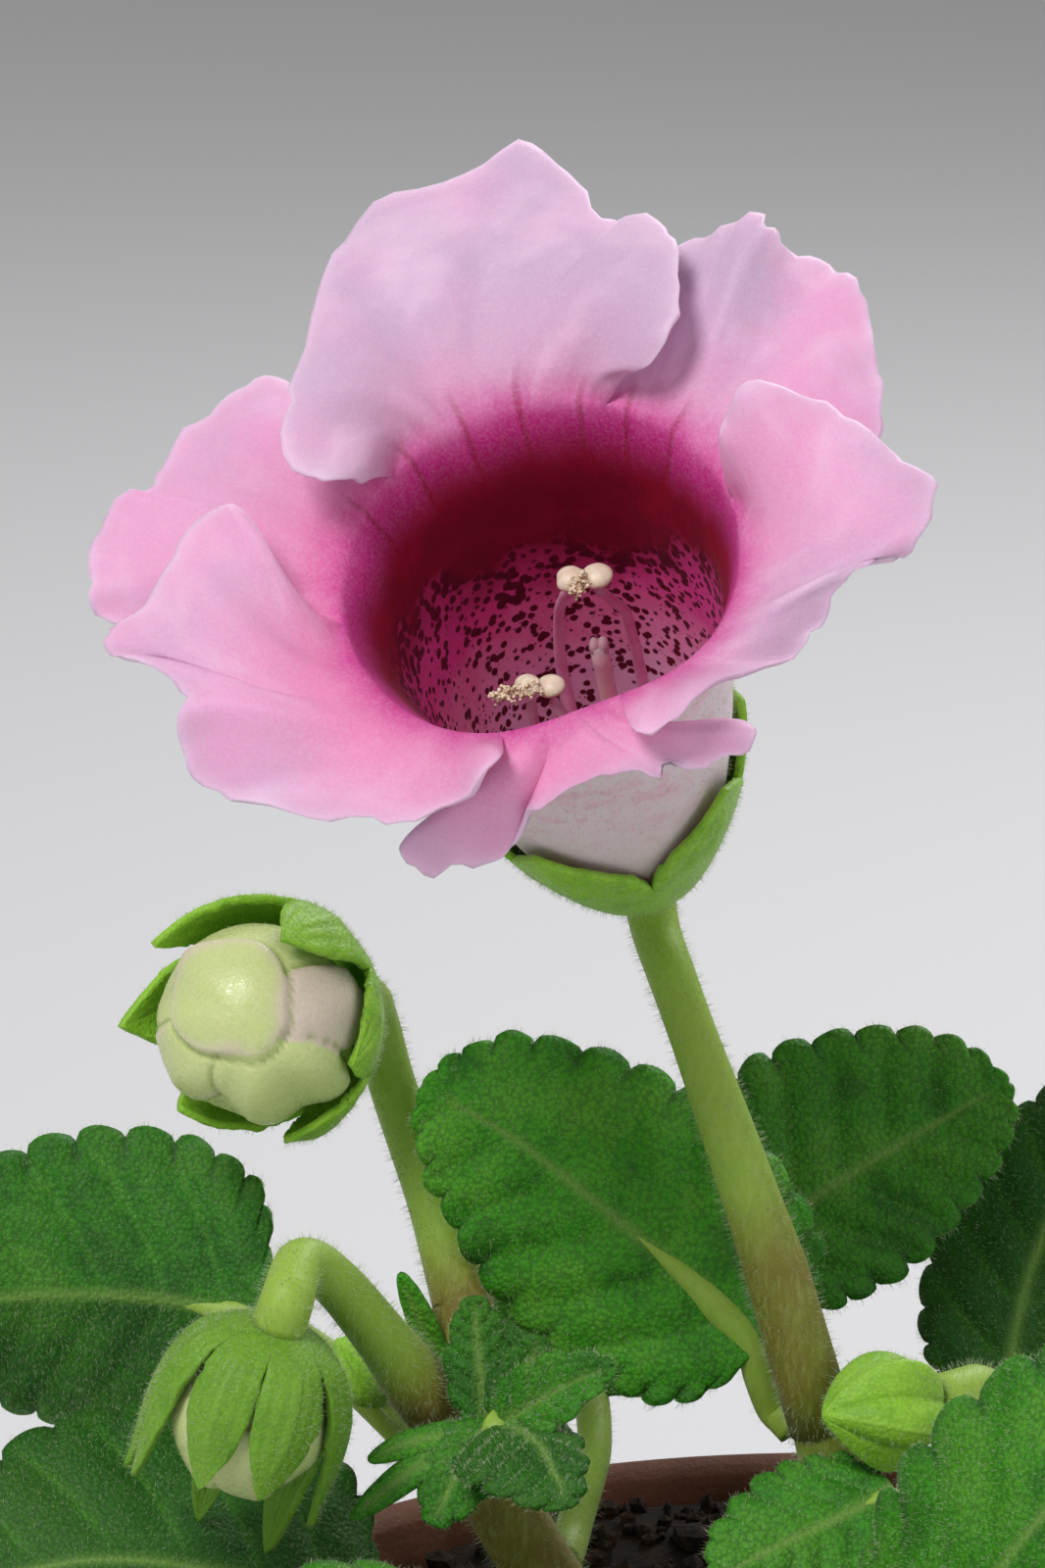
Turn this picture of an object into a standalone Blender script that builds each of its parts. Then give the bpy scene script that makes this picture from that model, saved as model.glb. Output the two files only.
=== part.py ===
"""A potted gloxinia: one open flower, four buds and crenate leaves on two shoots.

Lengths are millimetres and angles are degrees; MM turns them into Blender's metres.
The pot's axis is X = Y = 0 and its underside lies on Z = 0. The flower looks towards -Y.
"""
import math
import random

import bmesh
import bpy
from mathutils import Vector, geometry

MM = 0.001
GAP = 0.35                  # free space between neighbouring pieces

# Pot
POT_HEIGHT = 120.0
RIM_RADIUS = 70.0
RIM_DEPTH = 24.0
BASE_RADIUS = 46.0
SHOULDER_RADIUS = 63.5
POT_WALL = 5.0
POT_FLOOR = 7.0
POT_SIDES = 28
DRAIN_RADIUS = 4.5
DRAIN_RING = 24.0
DRAIN_COUNT = 4

# Soil and tuber
SOIL_TOP = 107.0
BANK_RISE = 10.8            # how much higher the soil lies against the back of the pot
BANK_FOOT = 20.0            # how far behind the pot's axis the bank starts
BANK_CREST = 50.0
WALL_LEAN = 0.25            # how much wider the pot gets inside for each millimetre up
TUBER_CENTRE = Vector((-7.0, 2.0, 96.0))
TUBER_RADIUS = 24.0
TUBER_TOP = 108.0
TUBER_DEPTH = 26.0

# Flower
FLOWER_BASE = Vector((-19.7, 6.0, 199.4))
FLOWER_AXIS = Vector((-0.190, -0.677, 0.711)).normalized()
TUBE_LENGTH = 52.0
PETAL = 0.7                 # thickness of the corolla
SEPAL = 0.8                 # thickness of a sepal
CLEFT_RADIUS = 18.5
CLEFT_HEIGHT = -1.0
TUBE_PROFILE = [(-51.5, 0.0), (-51.2, 2.2), (-49.6, 4.6), (-45.0, 7.2), (-38.0, 10.1),
                (-26.0, 12.9), (-11.0, 15.2), (-5.0, 16.9), (CLEFT_HEIGHT, CLEFT_RADIUS)]
FOOT_DEPTH = 0.35           # part of the last step of the tube that a front lobe's foot covers
FOOT_OFFSET = 0.12          # how far a front lobe's foot lies outside the middle of the wall
FOOT_INSET = 0.4            # degrees between the side of a foot and its cleft

# Leaves
BLADE = 0.8                 # thickness of a leaf blade
VEINS = 6                   # lateral veins on each side of a midrib
QUILT = 0.3                 # how far the blade bulges between its veins
VEIN_SLANT = 0.16


# ---------------------------------------------------------------- curves and frames

def blend(start, end, amount):
    return start + (end - start) * amount


def curve_at(points, amount):
    """A smooth curve through the points, read from 0 at the first to 1 at the last."""
    last = len(points) - 1
    place = min(max(amount, 0.0), 1.0) * last
    first = min(int(place), last - 1)
    step = place - first
    before = points[max(first - 1, 0)]
    start = points[first]
    end = points[first + 1]
    after = points[min(first + 2, last)]
    square = step * step
    cube = square * step
    return 0.5 * (2.0 * start + (end - before) * step
                  + (2.0 * before - 5.0 * start + 4.0 * end - after) * square
                  + (3.0 * start - before - 3.0 * end + after) * cube)


class Spine:
    """A smooth curve through points, read by the fraction of its length."""

    def __init__(self, points, samples=60):
        points = [Vector(point) for point in points]
        self.points = [curve_at(points, index / samples) for index in range(samples + 1)]
        self.marks = [0.0]
        for start, end in zip(self.points, self.points[1:]):
            self.marks.append(self.marks[-1] + (end - start).length)
        self.length = self.marks[-1]

    def at(self, amount):
        reach = amount * self.length
        index = 0
        while index < len(self.marks) - 2 and self.marks[index + 1] < reach:
            index += 1
        span = self.marks[index + 1] - self.marks[index]
        return blend(self.points[index], self.points[index + 1],
                     (reach - self.marks[index]) / span)

    def heading(self, amount):
        near = min(max(amount, 0.02), 0.98)
        return (self.at(near + 0.02) - self.at(near - 0.02)).normalized()


class Frame:
    """A place with an axis, and with angles about it counted from the side vector."""

    def __init__(self, origin, axis, side):
        self.origin = Vector(origin)
        self.axis = Vector(axis).normalized()
        side = Vector(side)
        self.side = (side - side.dot(self.axis) * self.axis).normalized()
        self.up = self.axis.cross(self.side)

    def place(self, across, along, height):
        return self.origin + across * self.side + along * self.up + height * self.axis

    def polar(self, angle, radius, height):
        turn = math.radians(angle)
        return self.place(radius * math.cos(turn), radius * math.sin(turn), height)


# ---------------------------------------------------------------- Blender helpers

def clear_scene():
    for item in list(bpy.data.objects):
        bpy.data.objects.remove(item, do_unlink=True)


def material(name, colour, roughness):
    made = bpy.data.materials.new(name)
    made.use_nodes = True
    shader = made.node_tree.nodes["Principled BSDF"]
    shader.inputs["Base Color"].default_value = (*colour, 1.0)
    shader.inputs["Roughness"].default_value = roughness
    shader.inputs["Metallic"].default_value = 0.0
    made.diffuse_color = (*colour, 1.0)
    return made


def add_object(name, data):
    item = bpy.data.objects.new(name, data)
    bpy.context.scene.collection.objects.link(item)
    return item


def from_bmesh(name, mesh):
    """An object from a bmesh in millimetres."""
    bmesh.ops.scale(mesh, vec=(MM, MM, MM), verts=mesh.verts)
    data = bpy.data.meshes.new(name)
    mesh.to_mesh(data)
    mesh.free()
    return add_object(name, data)


def settle(item):
    """Replace an object's data by the mesh that its modifiers or its curve make."""
    name = item.name
    view = bpy.context.evaluated_depsgraph_get()
    data = bpy.data.meshes.new_from_object(item.evaluated_get(view))
    bpy.data.objects.remove(item, do_unlink=True)
    return add_object(name, data)


def shell(name, mesh, thickness):
    """A sheet made into a solid of even thickness about its middle."""
    item = from_bmesh(name, mesh)
    solid = item.modifiers.new("Thickness", "SOLIDIFY")
    solid.thickness = thickness * MM
    solid.offset = 0.0
    item.modifiers.new("Triangles", "TRIANGULATE")
    return settle(item)


def stalk(name, points, radii, steps, resolution=2):
    """A round stalk along a smooth curve with straight ends; its radius is read along it."""
    spine = Spine(points[1:-1])
    path = [Vector(points[0])] + [spine.at(step / steps) for step in range(steps + 1)]
    path.append(Vector(points[-1]))
    widths = [Vector((radius, 0.0, 0.0)) for radius in radii]
    data = bpy.data.curves.new(name, "CURVE")
    data.dimensions = "3D"
    data.bevel_depth = MM
    data.bevel_resolution = resolution
    data.use_fill_caps = True
    spline = data.splines.new("POLY")
    spline.points.add(len(path) - 1)
    for index, point in enumerate(spline.points):
        point.co = (*(path[index] * MM), 1.0)
        point.radius = curve_at(widths, index / (len(path) - 1)).x
    return settle(add_object(name, data))


def fuse(name, items):
    """One body from several, by one Boolean union on a collection."""
    base = items[0]
    base.name = name
    group = bpy.data.collections.new(name + "_parts")
    for item in items[1:]:
        group.objects.link(item)
    union = base.modifiers.new("Union", "BOOLEAN")
    union.operation = "UNION"
    union.operand_type = "COLLECTION"
    union.collection = group
    union.solver = "EXACT"
    joined = settle(base)
    for item in items[1:]:
        bpy.data.objects.remove(item, do_unlink=True)
    bpy.data.collections.remove(group)
    return joined


def cut(item, cutters):
    """Take the cutters away from an object and then remove them."""
    for cutter in cutters:
        cutter.hide_render = True
        cutter.display_type = "WIRE"
        hole = item.modifiers.new("Cut", "BOOLEAN")
        hole.operation = "DIFFERENCE"
        hole.object = cutter
        hole.solver = "EXACT"
    item = settle(item)
    for cutter in cutters:
        bpy.data.objects.remove(cutter, do_unlink=True)
    return item


def finish(item, name, finish_material):
    """Name a piece, give it its material and shade its round faces smooth."""
    mesh = bmesh.new()
    mesh.from_mesh(item.data)
    bmesh.ops.remove_doubles(mesh, verts=mesh.verts, dist=0.002 * MM)
    bmesh.ops.dissolve_degenerate(mesh, edges=mesh.edges, dist=0.002 * MM)
    bmesh.ops.triangulate(mesh, faces=mesh.faces)
    bmesh.ops.recalc_face_normals(mesh, faces=mesh.faces)
    mesh.to_mesh(item.data)
    mesh.free()
    item.name = name
    item.data.name = name
    item.data.materials.clear()
    item.data.materials.append(finish_material)
    item.data.shade_smooth()
    item.data.set_sharp_from_angle(angle=math.radians(50.0))
    return item


def stitch(mesh, lower, upper):
    """Triangles between two rows of vertices, whose counts may differ."""
    low = 0
    high = 0
    low_last = len(lower) - 1
    high_last = len(upper) - 1
    while low < low_last or high < high_last:
        low_next = (low + 1) / low_last if low < low_last else 2.0
        high_next = (high + 1) / high_last if high < high_last else 2.0
        corner = lower[low + 1] if low_next <= high_next else upper[high + 1]
        corners = [lower[low], upper[high], corner]
        if len(set(corners)) == 3:
            mesh.faces.new(corners)
        if low_next <= high_next:
            low += 1
        else:
            high += 1


def turned(name, profile, sides, centre=(0.0, 0.0)):
    """A solid of revolution about a vertical axis from a profile of (radius, height)."""
    mesh = bmesh.new()
    rings = []
    for radius, height in profile:
        if radius < 0.001:
            rings.append([mesh.verts.new((centre[0], centre[1], height))] * (sides + 1))
            continue
        turns = [math.tau * index / sides for index in range(sides)]
        ring = [mesh.verts.new((centre[0] + radius * math.cos(turn),
                                centre[1] + radius * math.sin(turn), height)) for turn in turns]
        rings.append(ring + ring[:1])
    for lower, upper in zip(rings, rings[1:]):
        stitch(mesh, lower, upper)
    bmesh.ops.recalc_face_normals(mesh, faces=mesh.faces)
    return from_bmesh(name, mesh)


# ---------------------------------------------------------------- pot, soil and tuber

def build_pot():
    """A clay pot with a collar, a rounded lip and drain holes round a solid centre."""
    step = POT_HEIGHT - RIM_DEPTH
    inner_base = BASE_RADIUS - POT_WALL
    profile = [(0.0, 0.0), (BASE_RADIUS - 1.5, 0.0), (BASE_RADIUS, 1.5),
               (SHOULDER_RADIUS, step), (RIM_RADIUS - 1.6, step),
               (RIM_RADIUS, POT_HEIGHT - 3.0), (RIM_RADIUS - 0.8, POT_HEIGHT - 0.9),
               (RIM_RADIUS - 2.7, POT_HEIGHT), (RIM_RADIUS - 4.8, POT_HEIGHT - 0.9),
               (RIM_RADIUS - 5.8, POT_HEIGHT - 3.2), (SHOULDER_RADIUS - POT_WALL, step - 2.0),
               (inner_base, POT_FLOOR + 3.0), (inner_base - 3.0, POT_FLOOR), (0.0, POT_FLOOR)]
    pot = turned("pot", profile, POT_SIDES)
    drains = []
    for index in range(DRAIN_COUNT):
        turn = math.tau * (index + 0.5) / DRAIN_COUNT
        centre = (DRAIN_RING * math.cos(turn), DRAIN_RING * math.sin(turn))
        bore = [(0.0, -3.0), (DRAIN_RADIUS, -3.0), (DRAIN_RADIUS, POT_FLOOR + 3.0),
                (0.0, POT_FLOOR + 3.0)]
        drains.append(turned("drain", bore, 12, centre))
    return finish(cut(pot, drains), "pot", material("clay", (0.33, 0.13, 0.08), 0.75))


def tuber_profile(spread):
    """Outline of the tuber, grown by a clearance all round."""
    top = TUBER_TOP + spread
    depth = TUBER_DEPTH + spread
    wide = TUBER_RADIUS + spread
    low = TUBER_TOP - depth
    return [(0.0, top), (wide * 0.82, top), (wide * 0.95, top - 3.0), (wide, top - 8.0),
            (wide * 0.93, top - 15.0), (wide * 0.66, low + 3.0), (wide * 0.3, low), (0.0, low)]


def build_tuber():
    """The corky tuber that both shoots rise from, with its crown at the soil's surface."""
    centre = (TUBER_CENTRE.x, TUBER_CENTRE.y)
    tuber = turned("tuber", tuber_profile(0.0), 20, centre)
    return finish(tuber, "tuber", material("tuber_skin", (0.16, 0.10, 0.06), 0.9))


def build_soil():
    """Potting soil with a crumbly top and a pit that holds the tuber."""
    rng = random.Random(7)
    step = POT_HEIGHT - RIM_DEPTH
    inner_base = BASE_RADIUS - POT_WALL
    upper = SHOULDER_RADIUS - POT_WALL + 1.4
    profile = [(0.0, POT_FLOOR + GAP), (inner_base - 3.4, POT_FLOOR + GAP),
               (inner_base - 0.6, POT_FLOOR + 3.4), (SHOULDER_RADIUS - POT_WALL - 0.6, step - 2.0),
               (upper, SOIL_TOP - 2.0), (upper - 1.5, SOIL_TOP)]
    rings = 5
    for index in range(1, rings + 1):
        profile.append(((upper - 1.5) * (1.0 - index / rings), SOIL_TOP))
    soil = turned("soil", profile, POT_SIDES)
    for vertex in soil.data.vertices:
        height = vertex.co.z / MM
        if height < SOIL_TOP - 2.5:
            continue
        share = (vertex.co.y / MM - BANK_FOOT) / (BANK_CREST - BANK_FOOT)
        share = min(max(share, 0.0), 1.0)
        rise = BANK_RISE * share * share * (3.0 - 2.0 * share)
        reach = vertex.co.xy.length / MM
        if reach > SHOULDER_RADIUS - POT_WALL - 2.0:
            vertex.co.xy *= 1.0 + WALL_LEAN * rise / reach
        vertex.co.z += rise * MM
        if height > SOIL_TOP - 0.5:
            vertex.co.z += rng.uniform(-0.9, 0.9) * MM
    pit = turned("pit", [(0.0, SOIL_TOP + 20.0), (TUBER_RADIUS + GAP, SOIL_TOP + 20.0)]
                 + tuber_profile(GAP)[3:], 20, (TUBER_CENTRE.x, TUBER_CENTRE.y))
    return finish(cut(soil, [pit]), "soil", material("soil", (0.035, 0.022, 0.015), 0.95))


# ---------------------------------------------------------------- flower

FLOWER = Frame(FLOWER_BASE + TUBE_LENGTH * FLOWER_AXIS, FLOWER_AXIS, (1.0, 0.0, 0.0))

# Each lobe runs counter-clockwise from its first cleft to its last. Its margin is given as
# (across, along, height) in the flower's frame. A lobe in front lifts clear of its neighbours.
LOBES = [
    {"name": "top", "clefts": (71, 138), "front": True, "rise": 34, "droop": 0.3, "margin": [
        (8.4, 18.6, 2.2), (11.2, 17.2, 4.8), (13.8, 19.0, 6.6), (15.0, 24.1, 7), (14.3, 28.8, 6),
        (12.6, 32.6, 5), (9.4, 35.3, 4), (7.6, 34.9, 3.4), (5.0, 39.6, 2.4), (1.7, 44.6, 1),
        (-1.6, 46.8, 1), (-6.8, 42.0, 3.6), (-13.8, 40.0, 4), (-18.4, 34.4, 4),
        (-20.2, 27.4, 4.4), (-21.4, 20.2, 6), (-22.6, 13.8, 8), (-21.2, 8.0, 8),
        (-18.2, 6.0, 7.2), (-15.8, 7.6, 5), (-14.6, 10.2, 2)]},
    {"name": "left", "clefts": (138, 191), "front": False, "rise": 22, "droop": 0.3, "margin": [
        (-15.6, 15.2, -2), (-17.4, 18.2, -2.4), (-20.6, 21.6, -2.4), (-24.2, 25.0, -2),
        (-27.8, 24.4, -1), (-31.4, 20.6, 0), (-35.0, 15.6, 0), (-36.8, 12.2, 1),
        (-39.2, 11.9, 1), (-40.7, 8.4, 1), (-41.6, 3.9, 0.8), (-41.2, 0.6, 0), (-37.8, -1.4, -2),
        (-31.4, -2.8, -3), (-25.4, -3.8, -3), (-21.2, -3.8, -2)]},
    {"name": "lower_left", "clefts": (191, 258), "front": True, "rise": 18, "droop": 0.4,
     "margin": [
        (-21.4, -2.8, 1.6), (-24.0, 1.2, 4.6), (-25.6, 4.4, 6.4),
        (-27.8, 5.8, 7), (-31.2, 4.0, 6), (-33.2, 0.2, 5.4), (-35.2, -2.8, 4), (-38.8, -3.6, 3),
        (-39.4, -5.6, 2.2), (-36.2, -7.6, 3), (-32.8, -10.4, 3), (-31.8, -13.0, 2.8),
        (-32.8, -15.0, 1.2), (-32.4, -17.2, -0.6), (-29.8, -19.4, -2), (-25.2, -21.7, -2),
        (-19.6, -23.8, -2), (-14.4, -25.0, -2.4), (-10.2, -24.6, -1.8), (-6.8, -24.0, 0.2),
        (-4.4, -23.8, 2.2), (-3.0, -22.0, 2.6), (-3.2, -20.0, 1.0)]},
    {"name": "bottom", "clefts": (258, 297), "front": False, "rise": 0, "droop": 1.4, "margin": [
        (-5.6, -20.6, -3.0), (-9.0, -22.4, -5.4), (-12.6, -22.8, -7.2), (-14.2, -23.8, -8.6),
        (-12.4, -24.9, -9.8), (-9.4, -24.8, -10.4), (-6.0, -24.2, -10.2), (-3.4, -23.4, -8.2),
        (-1.2, -23.2, -5.0), (1.8, -22.6, -2.8), (5.0, -21.8, -2.0), (8.2, -21.4, -2.6),
        (11.2, -21.2, -4.2), (13.8, -20.4, -5.2), (16.4, -18.6, -5.8), (18.6, -16.8, -6.4),
        (17.8, -15.4, -6.2), (14.8, -16.6, -5.0), (11.2, -17.4, -2.8)]},
    {"name": "right", "clefts": (297, 379), "front": True, "rise": 20, "droop": 0.4, "margin": [
        (8.6, -18.6, 1.0), (9.6, -20.8, 2.2), (12.0, -20.2, 2.2), (14.2, -17.6, 1.8),
        (16.6, -14.8, 0.6), (20.0, -12.6, -1.4), (23.6, -11.0, -2), (25.8, -9.0, -0.6),
        (27.2, -7.0, 1), (29.6, -5.6, 2), (32.4, -4.4, 2.2), (35.2, -3.0, 1.8), (36.9, 0.2, 3),
        (35.9, 3.2, 4), (32.6, 5.6, 5), (28.9, 9.0, 6), (25.6, 10.6, 7.2), (21.8, 11.6, 8),
        (19.2, 10.6, 7.6), (17.8, 8.8, 5.6), (17.4, 7.4, 2.4)]},
    {"name": "upper_right", "clefts": (19, 71), "front": False, "rise": 24, "droop": 0.3,
     "margin": [
        (20.4, 7.8, -2), (23.4, 9.0, -3.2), (27.6, 10.6, -4), (31.2, 12.2, -3), (31.5, 16.8, -1),
        (31.2, 22.0, 0), (29.8, 26.8, 0), (27.2, 29.8, 0), (23.6, 30.6, 2), (22.4, 33.2, 3.4),
        (20.2, 33.9, 3), (17.0, 33.5, 1.6), (12.9, 34.0, 0), (10.2, 31.0, -1.4),
        (8.6, 25.8, -2), (7.4, 21.2, -2)]},
]
ROOT_PARTS = 5              # parts of the tube's mouth under one lobe
LOBE_ROWS = [(0.16, 8), (0.42, 11), (0.72, 15)]


def mouth_point(angle):
    """A point of the tube's mouth."""
    turn = math.radians(angle)
    return Vector((CLEFT_RADIUS * math.cos(turn), CLEFT_RADIUS * math.sin(turn), CLEFT_HEIGHT))


def lobe_margin(lobe):
    """The lobe's whole margin, from its first cleft to its last."""
    first, last = lobe["clefts"]
    return ([mouth_point(first)] + [Vector(point) for point in lobe["margin"]]
            + [mouth_point(last)])


def lobe_point(lobe, margin, around, out):
    """A point of a lobe: around its root arc from 0 to 1, and out to its margin at 1."""
    first, last = lobe["clefts"]
    angle = math.radians(blend(first, last, around))
    root = mouth_point(blend(first, last, around))
    edge = curve_at(margin, around)
    reach = (edge - root).length
    rise = math.radians(lobe["rise"])
    leaving = Vector((math.cos(angle) * math.cos(rise), math.sin(angle) * math.cos(rise),
                      math.sin(rise)))
    level = Vector((edge.x - root.x, edge.y - root.y, 0.0))
    level = level.normalized() if level.length > 0.001 else leaving
    arriving = (level - Vector((0.0, 0.0, lobe["droop"]))).normalized()
    handle_in = root + leaving * reach * 0.36
    handle_out = edge - arriving * reach * 0.3
    stay = 1.0 - out
    return (root * stay ** 3 + handle_in * 3.0 * stay ** 2 * out
            + handle_out * 3.0 * stay * out ** 2 + edge * out ** 3)


def add_lobe(mesh, lobe, root):
    """Add a lobe's rows of triangles to a mesh, from its root row out to its margin."""
    margin = lobe_margin(lobe)
    row = root
    for out, parts in LOBE_ROWS + [(1.0, len(margin) - 1)]:
        inner = [lobe_point(lobe, margin, part / parts, out) for part in range(1, parts)]
        upper = [mesh.verts.new(FLOWER.place(*point)) for point in inner]
        upper = [row[0]] + upper + [row[-1]]
        stitch(mesh, row, upper)
        row = upper


def build_tube(lobes):
    """The closed tube in one sheet with the lobes that lie behind the others."""
    mesh = bmesh.new()
    angles = []
    for lobe in lobes:
        first, last = lobe["clefts"]
        angles += [blend(first, last, part / ROOT_PARTS) for part in range(ROOT_PARTS)]
    rings = []
    for height, radius in TUBE_PROFILE:
        if radius == 0.0:
            rings.append([mesh.verts.new(FLOWER.place(0.0, 0.0, height))] * (len(angles) + 1))
            continue
        ring = [mesh.verts.new(FLOWER.polar(angle, radius, height)) for angle in angles]
        rings.append(ring + ring[:1])
    for lower, upper in zip(rings, rings[1:]):
        stitch(mesh, lower, upper)
    for number, lobe in enumerate(lobes):
        if not lobe["front"]:
            start = number * ROOT_PARTS
            add_lobe(mesh, lobe, rings[-1][start:start + ROOT_PARTS + 1])
    return shell("tube", mesh, PETAL)


def build_front_lobe(lobe):
    """A lobe that overlaps its neighbours, with its foot sunk in the tube's wall."""
    mesh = bmesh.new()
    first, last = lobe["clefts"]
    height, radius = TUBE_PROFILE[-2]
    foot_radius = blend(CLEFT_RADIUS, radius, FOOT_DEPTH) + FOOT_OFFSET
    foot_height = blend(CLEFT_HEIGHT, height, FOOT_DEPTH)
    foot = []
    root = []
    for part in range(ROOT_PARTS + 1):
        angle = blend(first + FOOT_INSET, last - FOOT_INSET, part / ROOT_PARTS)
        foot.append(mesh.verts.new(FLOWER.polar(angle, foot_radius, foot_height)))
        root.append(mesh.verts.new(FLOWER.polar(angle, CLEFT_RADIUS + FOOT_OFFSET, CLEFT_HEIGHT)))
    stitch(mesh, foot, root)
    add_lobe(mesh, lobe, root)
    return shell("lobe", mesh, PETAL)


def build_corolla():
    """The corolla: a closed tube that opens into six overlapping lobes."""
    lobes = sorted(LOBES, key=lambda item: item["clefts"][0])
    items = [build_tube(lobes)] + [build_front_lobe(lobe) for lobe in lobes if lobe["front"]]
    corolla = fuse("corolla", items)
    return finish(corolla, "corolla", material("petal_pink", (0.80, 0.45, 0.62), 0.5))


def ellipsoid(name, centre, radii, axis, rows=6, sides=8):
    """An egg-round body, its last radius along the axis."""
    mesh = bmesh.new()
    frame = Frame(centre, axis, (1.0, 0.13, 0.07))
    rings = []
    for index in range(rows + 1):
        lean = math.pi * index / rows
        height = -radii[2] * math.cos(lean)
        if index in (0, rows):
            rings.append([mesh.verts.new(frame.place(0.0, 0.0, height))] * (sides + 1))
            continue
        ring = []
        for side in range(sides):
            turn = math.tau * side / sides
            ring.append(mesh.verts.new(frame.place(radii[0] * math.sin(lean) * math.cos(turn),
                                                   radii[1] * math.sin(lean) * math.sin(turn),
                                                   height)))
        rings.append(ring + ring[:1])
    for lower, upper in zip(rings, rings[1:]):
        stitch(mesh, lower, upper)
    bmesh.ops.recalc_face_normals(mesh, faces=mesh.faces)
    return from_bmesh(name, mesh)


ANTHERS = {"upper": (2.0, 6.2, -11.5), "lower": (-1.7, -7.0, -9.5)}
FILAMENT = 0.5              # radius
RING_SIDES = 9
FILAMENTS = [
    [(-2.3, 2.2, -46.9), (-3.2, 4.6, -40.0), (-3.2, 8.2, -29.0), (-1.9, 8.2, -20.0),
     (0.9, 5.75, -12.95)],
    [(2.3, 2.2, -46.9), (3.8, 4.6, -40.0), (4.0, 7.6, -29.0), (4.4, 7.6, -20.0),
     (3.0, 5.75, -12.85)],
    [(-2.3, -2.2, -46.9), (-3.8, -4.6, -38.0), (-4.4, -7.2, -26.0), (-2.75, -7.5, -10.95)],
    [(2.3, -2.2, -46.9), (3.2, -5.2, -38.0), (2.2, -7.6, -26.0), (-0.65, -7.5, -10.85)],
]


def build_stamens():
    """Four filaments that rise from one ring at the bottom of the tube."""
    ring = bmesh.new()
    rows = []
    for radius, height in [(2.8, -47.7), (3.8, -47.7), (3.8, -46.6), (2.8, -46.6)]:
        angles = [360.0 * side / RING_SIDES for side in range(RING_SIDES)]
        row = [ring.verts.new(FLOWER.polar(angle, radius, height)) for angle in angles]
        rows.append(row + row[:1])
    for lower, upper in zip(rows, rows[1:] + rows[:1]):
        stitch(ring, lower, upper)
    bmesh.ops.recalc_face_normals(ring, faces=ring.faces)
    items = [from_bmesh("stamen_ring", ring)]
    for number, points in enumerate(FILAMENTS):
        path = [FLOWER.place(*point) for point in points]
        items.append(stalk("filament_%d" % number, path, [0.7, FILAMENT, 0.4], 5, 1))
    return finish(fuse("stamens", items), "stamens", material("filament", (0.82, 0.52, 0.62), 0.5))


def build_anthers(name, centre):
    """A pair of anthers grown together: four pollen sacs round a middle."""
    items = []
    for across, along, lift in [(-1.05, -0.55, 0.0), (1.05, -0.5, 0.1), (-0.75, 0.7, 0.35),
                                (0.85, 0.65, 0.4)]:
        place = FLOWER.place(centre[0] + across, centre[1] + along, centre[2] + lift)
        items.append(ellipsoid("sac", place, (1.15, 0.95, 1.0), FLOWER.axis, 4, 7))
    return finish(fuse(name, items), name, material("pollen", (0.86, 0.74, 0.50), 0.7))


def build_pistil():
    """The ovary with its style and the two-lobed stigma."""
    path = [FLOWER.place(*point) for point in
            [(0.0, 0.0, -49.4), (0.0, 0.3, -46.0), (0.4, 2.0, -40.0), (1.0, 4.8, -30.0),
             (1.3, 6.0, -22.6)]]
    style = stalk("style", path, [2.2, 2.2, 1.15, 0.85, 0.85], 7, 2)
    lobes = []
    for aside in (-0.6, 0.6):
        place = FLOWER.place(1.3 + aside, 6.1, -22.0)
        lobes.append(ellipsoid("stigma", place, (0.95, 1.1, 0.9), FLOWER.axis, 4, 7))
    return finish(fuse("pistil", [style] + lobes), "pistil",
                  material("pistil", (0.84, 0.62, 0.66), 0.45))


# ---------------------------------------------------------------- calyxes and buds

def build_calyx(name, frame, meridian, sepals, cup, colour_material, spread=0.8):
    """A calyx as one sheet: a small cup whose rim grows out into pointed, keeled sepals.

    The meridian is a list of (height, radius) from the stalk to the furthest tip. Each sepal
    has its middle angle at the cup, the angle of its tip, how far up the meridian it goes and
    how far its tip stands off from it.
    """
    line = [Vector((height, radius, 0.0)) for height, radius in meridian]
    parts = 4
    count = len(sepals)
    borders = []
    for number, (middle, _, _, _) in enumerate(sepals):
        before = sepals[number - 1][0] - (360.0 if number == 0 else 0.0)
        borders.append(0.5 * (before + middle))
    borders.append(borders[0] + 360.0)
    angles = []
    for first, last in zip(borders, borders[1:]):
        angles += [blend(first, last, part / parts) for part in range(parts)]
    mesh = bmesh.new()
    pole = mesh.verts.new(frame.place(0.0, 0.0, meridian[0][0]))
    rings = [[pole] * (len(angles) + 1)]
    for amount in (0.5 * cup, cup):
        place = curve_at(line, amount)
        ring = [mesh.verts.new(frame.polar(angle, place.y, place.x)) for angle in angles]
        rings.append(ring + ring[:1])
    for lower, upper in zip(rings, rings[1:]):
        stitch(mesh, lower, upper)
    for number, (middle, tip, reach, flare) in enumerate(sepals):
        first, last = borders[number], borders[number + 1]
        row = rings[-1][number * parts:(number + 1) * parts + 1]
        for step, columns in ((0.2, 4), (0.45, 4), (0.72, 2)):
            place = curve_at(line, blend(cup, reach, step))
            half = 0.5 * (last - first) * spread * (1.0 - step ** 1.7) * (1.0 + 0.3 * step)
            centre = blend(0.5 * (first + last), tip, step ** 1.3)
            upper = []
            for column in range(columns + 1):
                aside = 2.0 * column / columns - 1.0
                keel = 0.55 * (1.0 - abs(aside)) + flare * step ** 2
                upper.append(mesh.verts.new(frame.polar(centre + aside * half, place.y + keel,
                                                        place.x)))
            stitch(mesh, row, upper)
            row = upper
        place = curve_at(line, reach)
        point = mesh.verts.new(frame.polar(tip, place.y + flare, place.x))
        stitch(mesh, row, [point, point])
    return finish(shell(name, mesh, SEPAL), name, colour_material)


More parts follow.
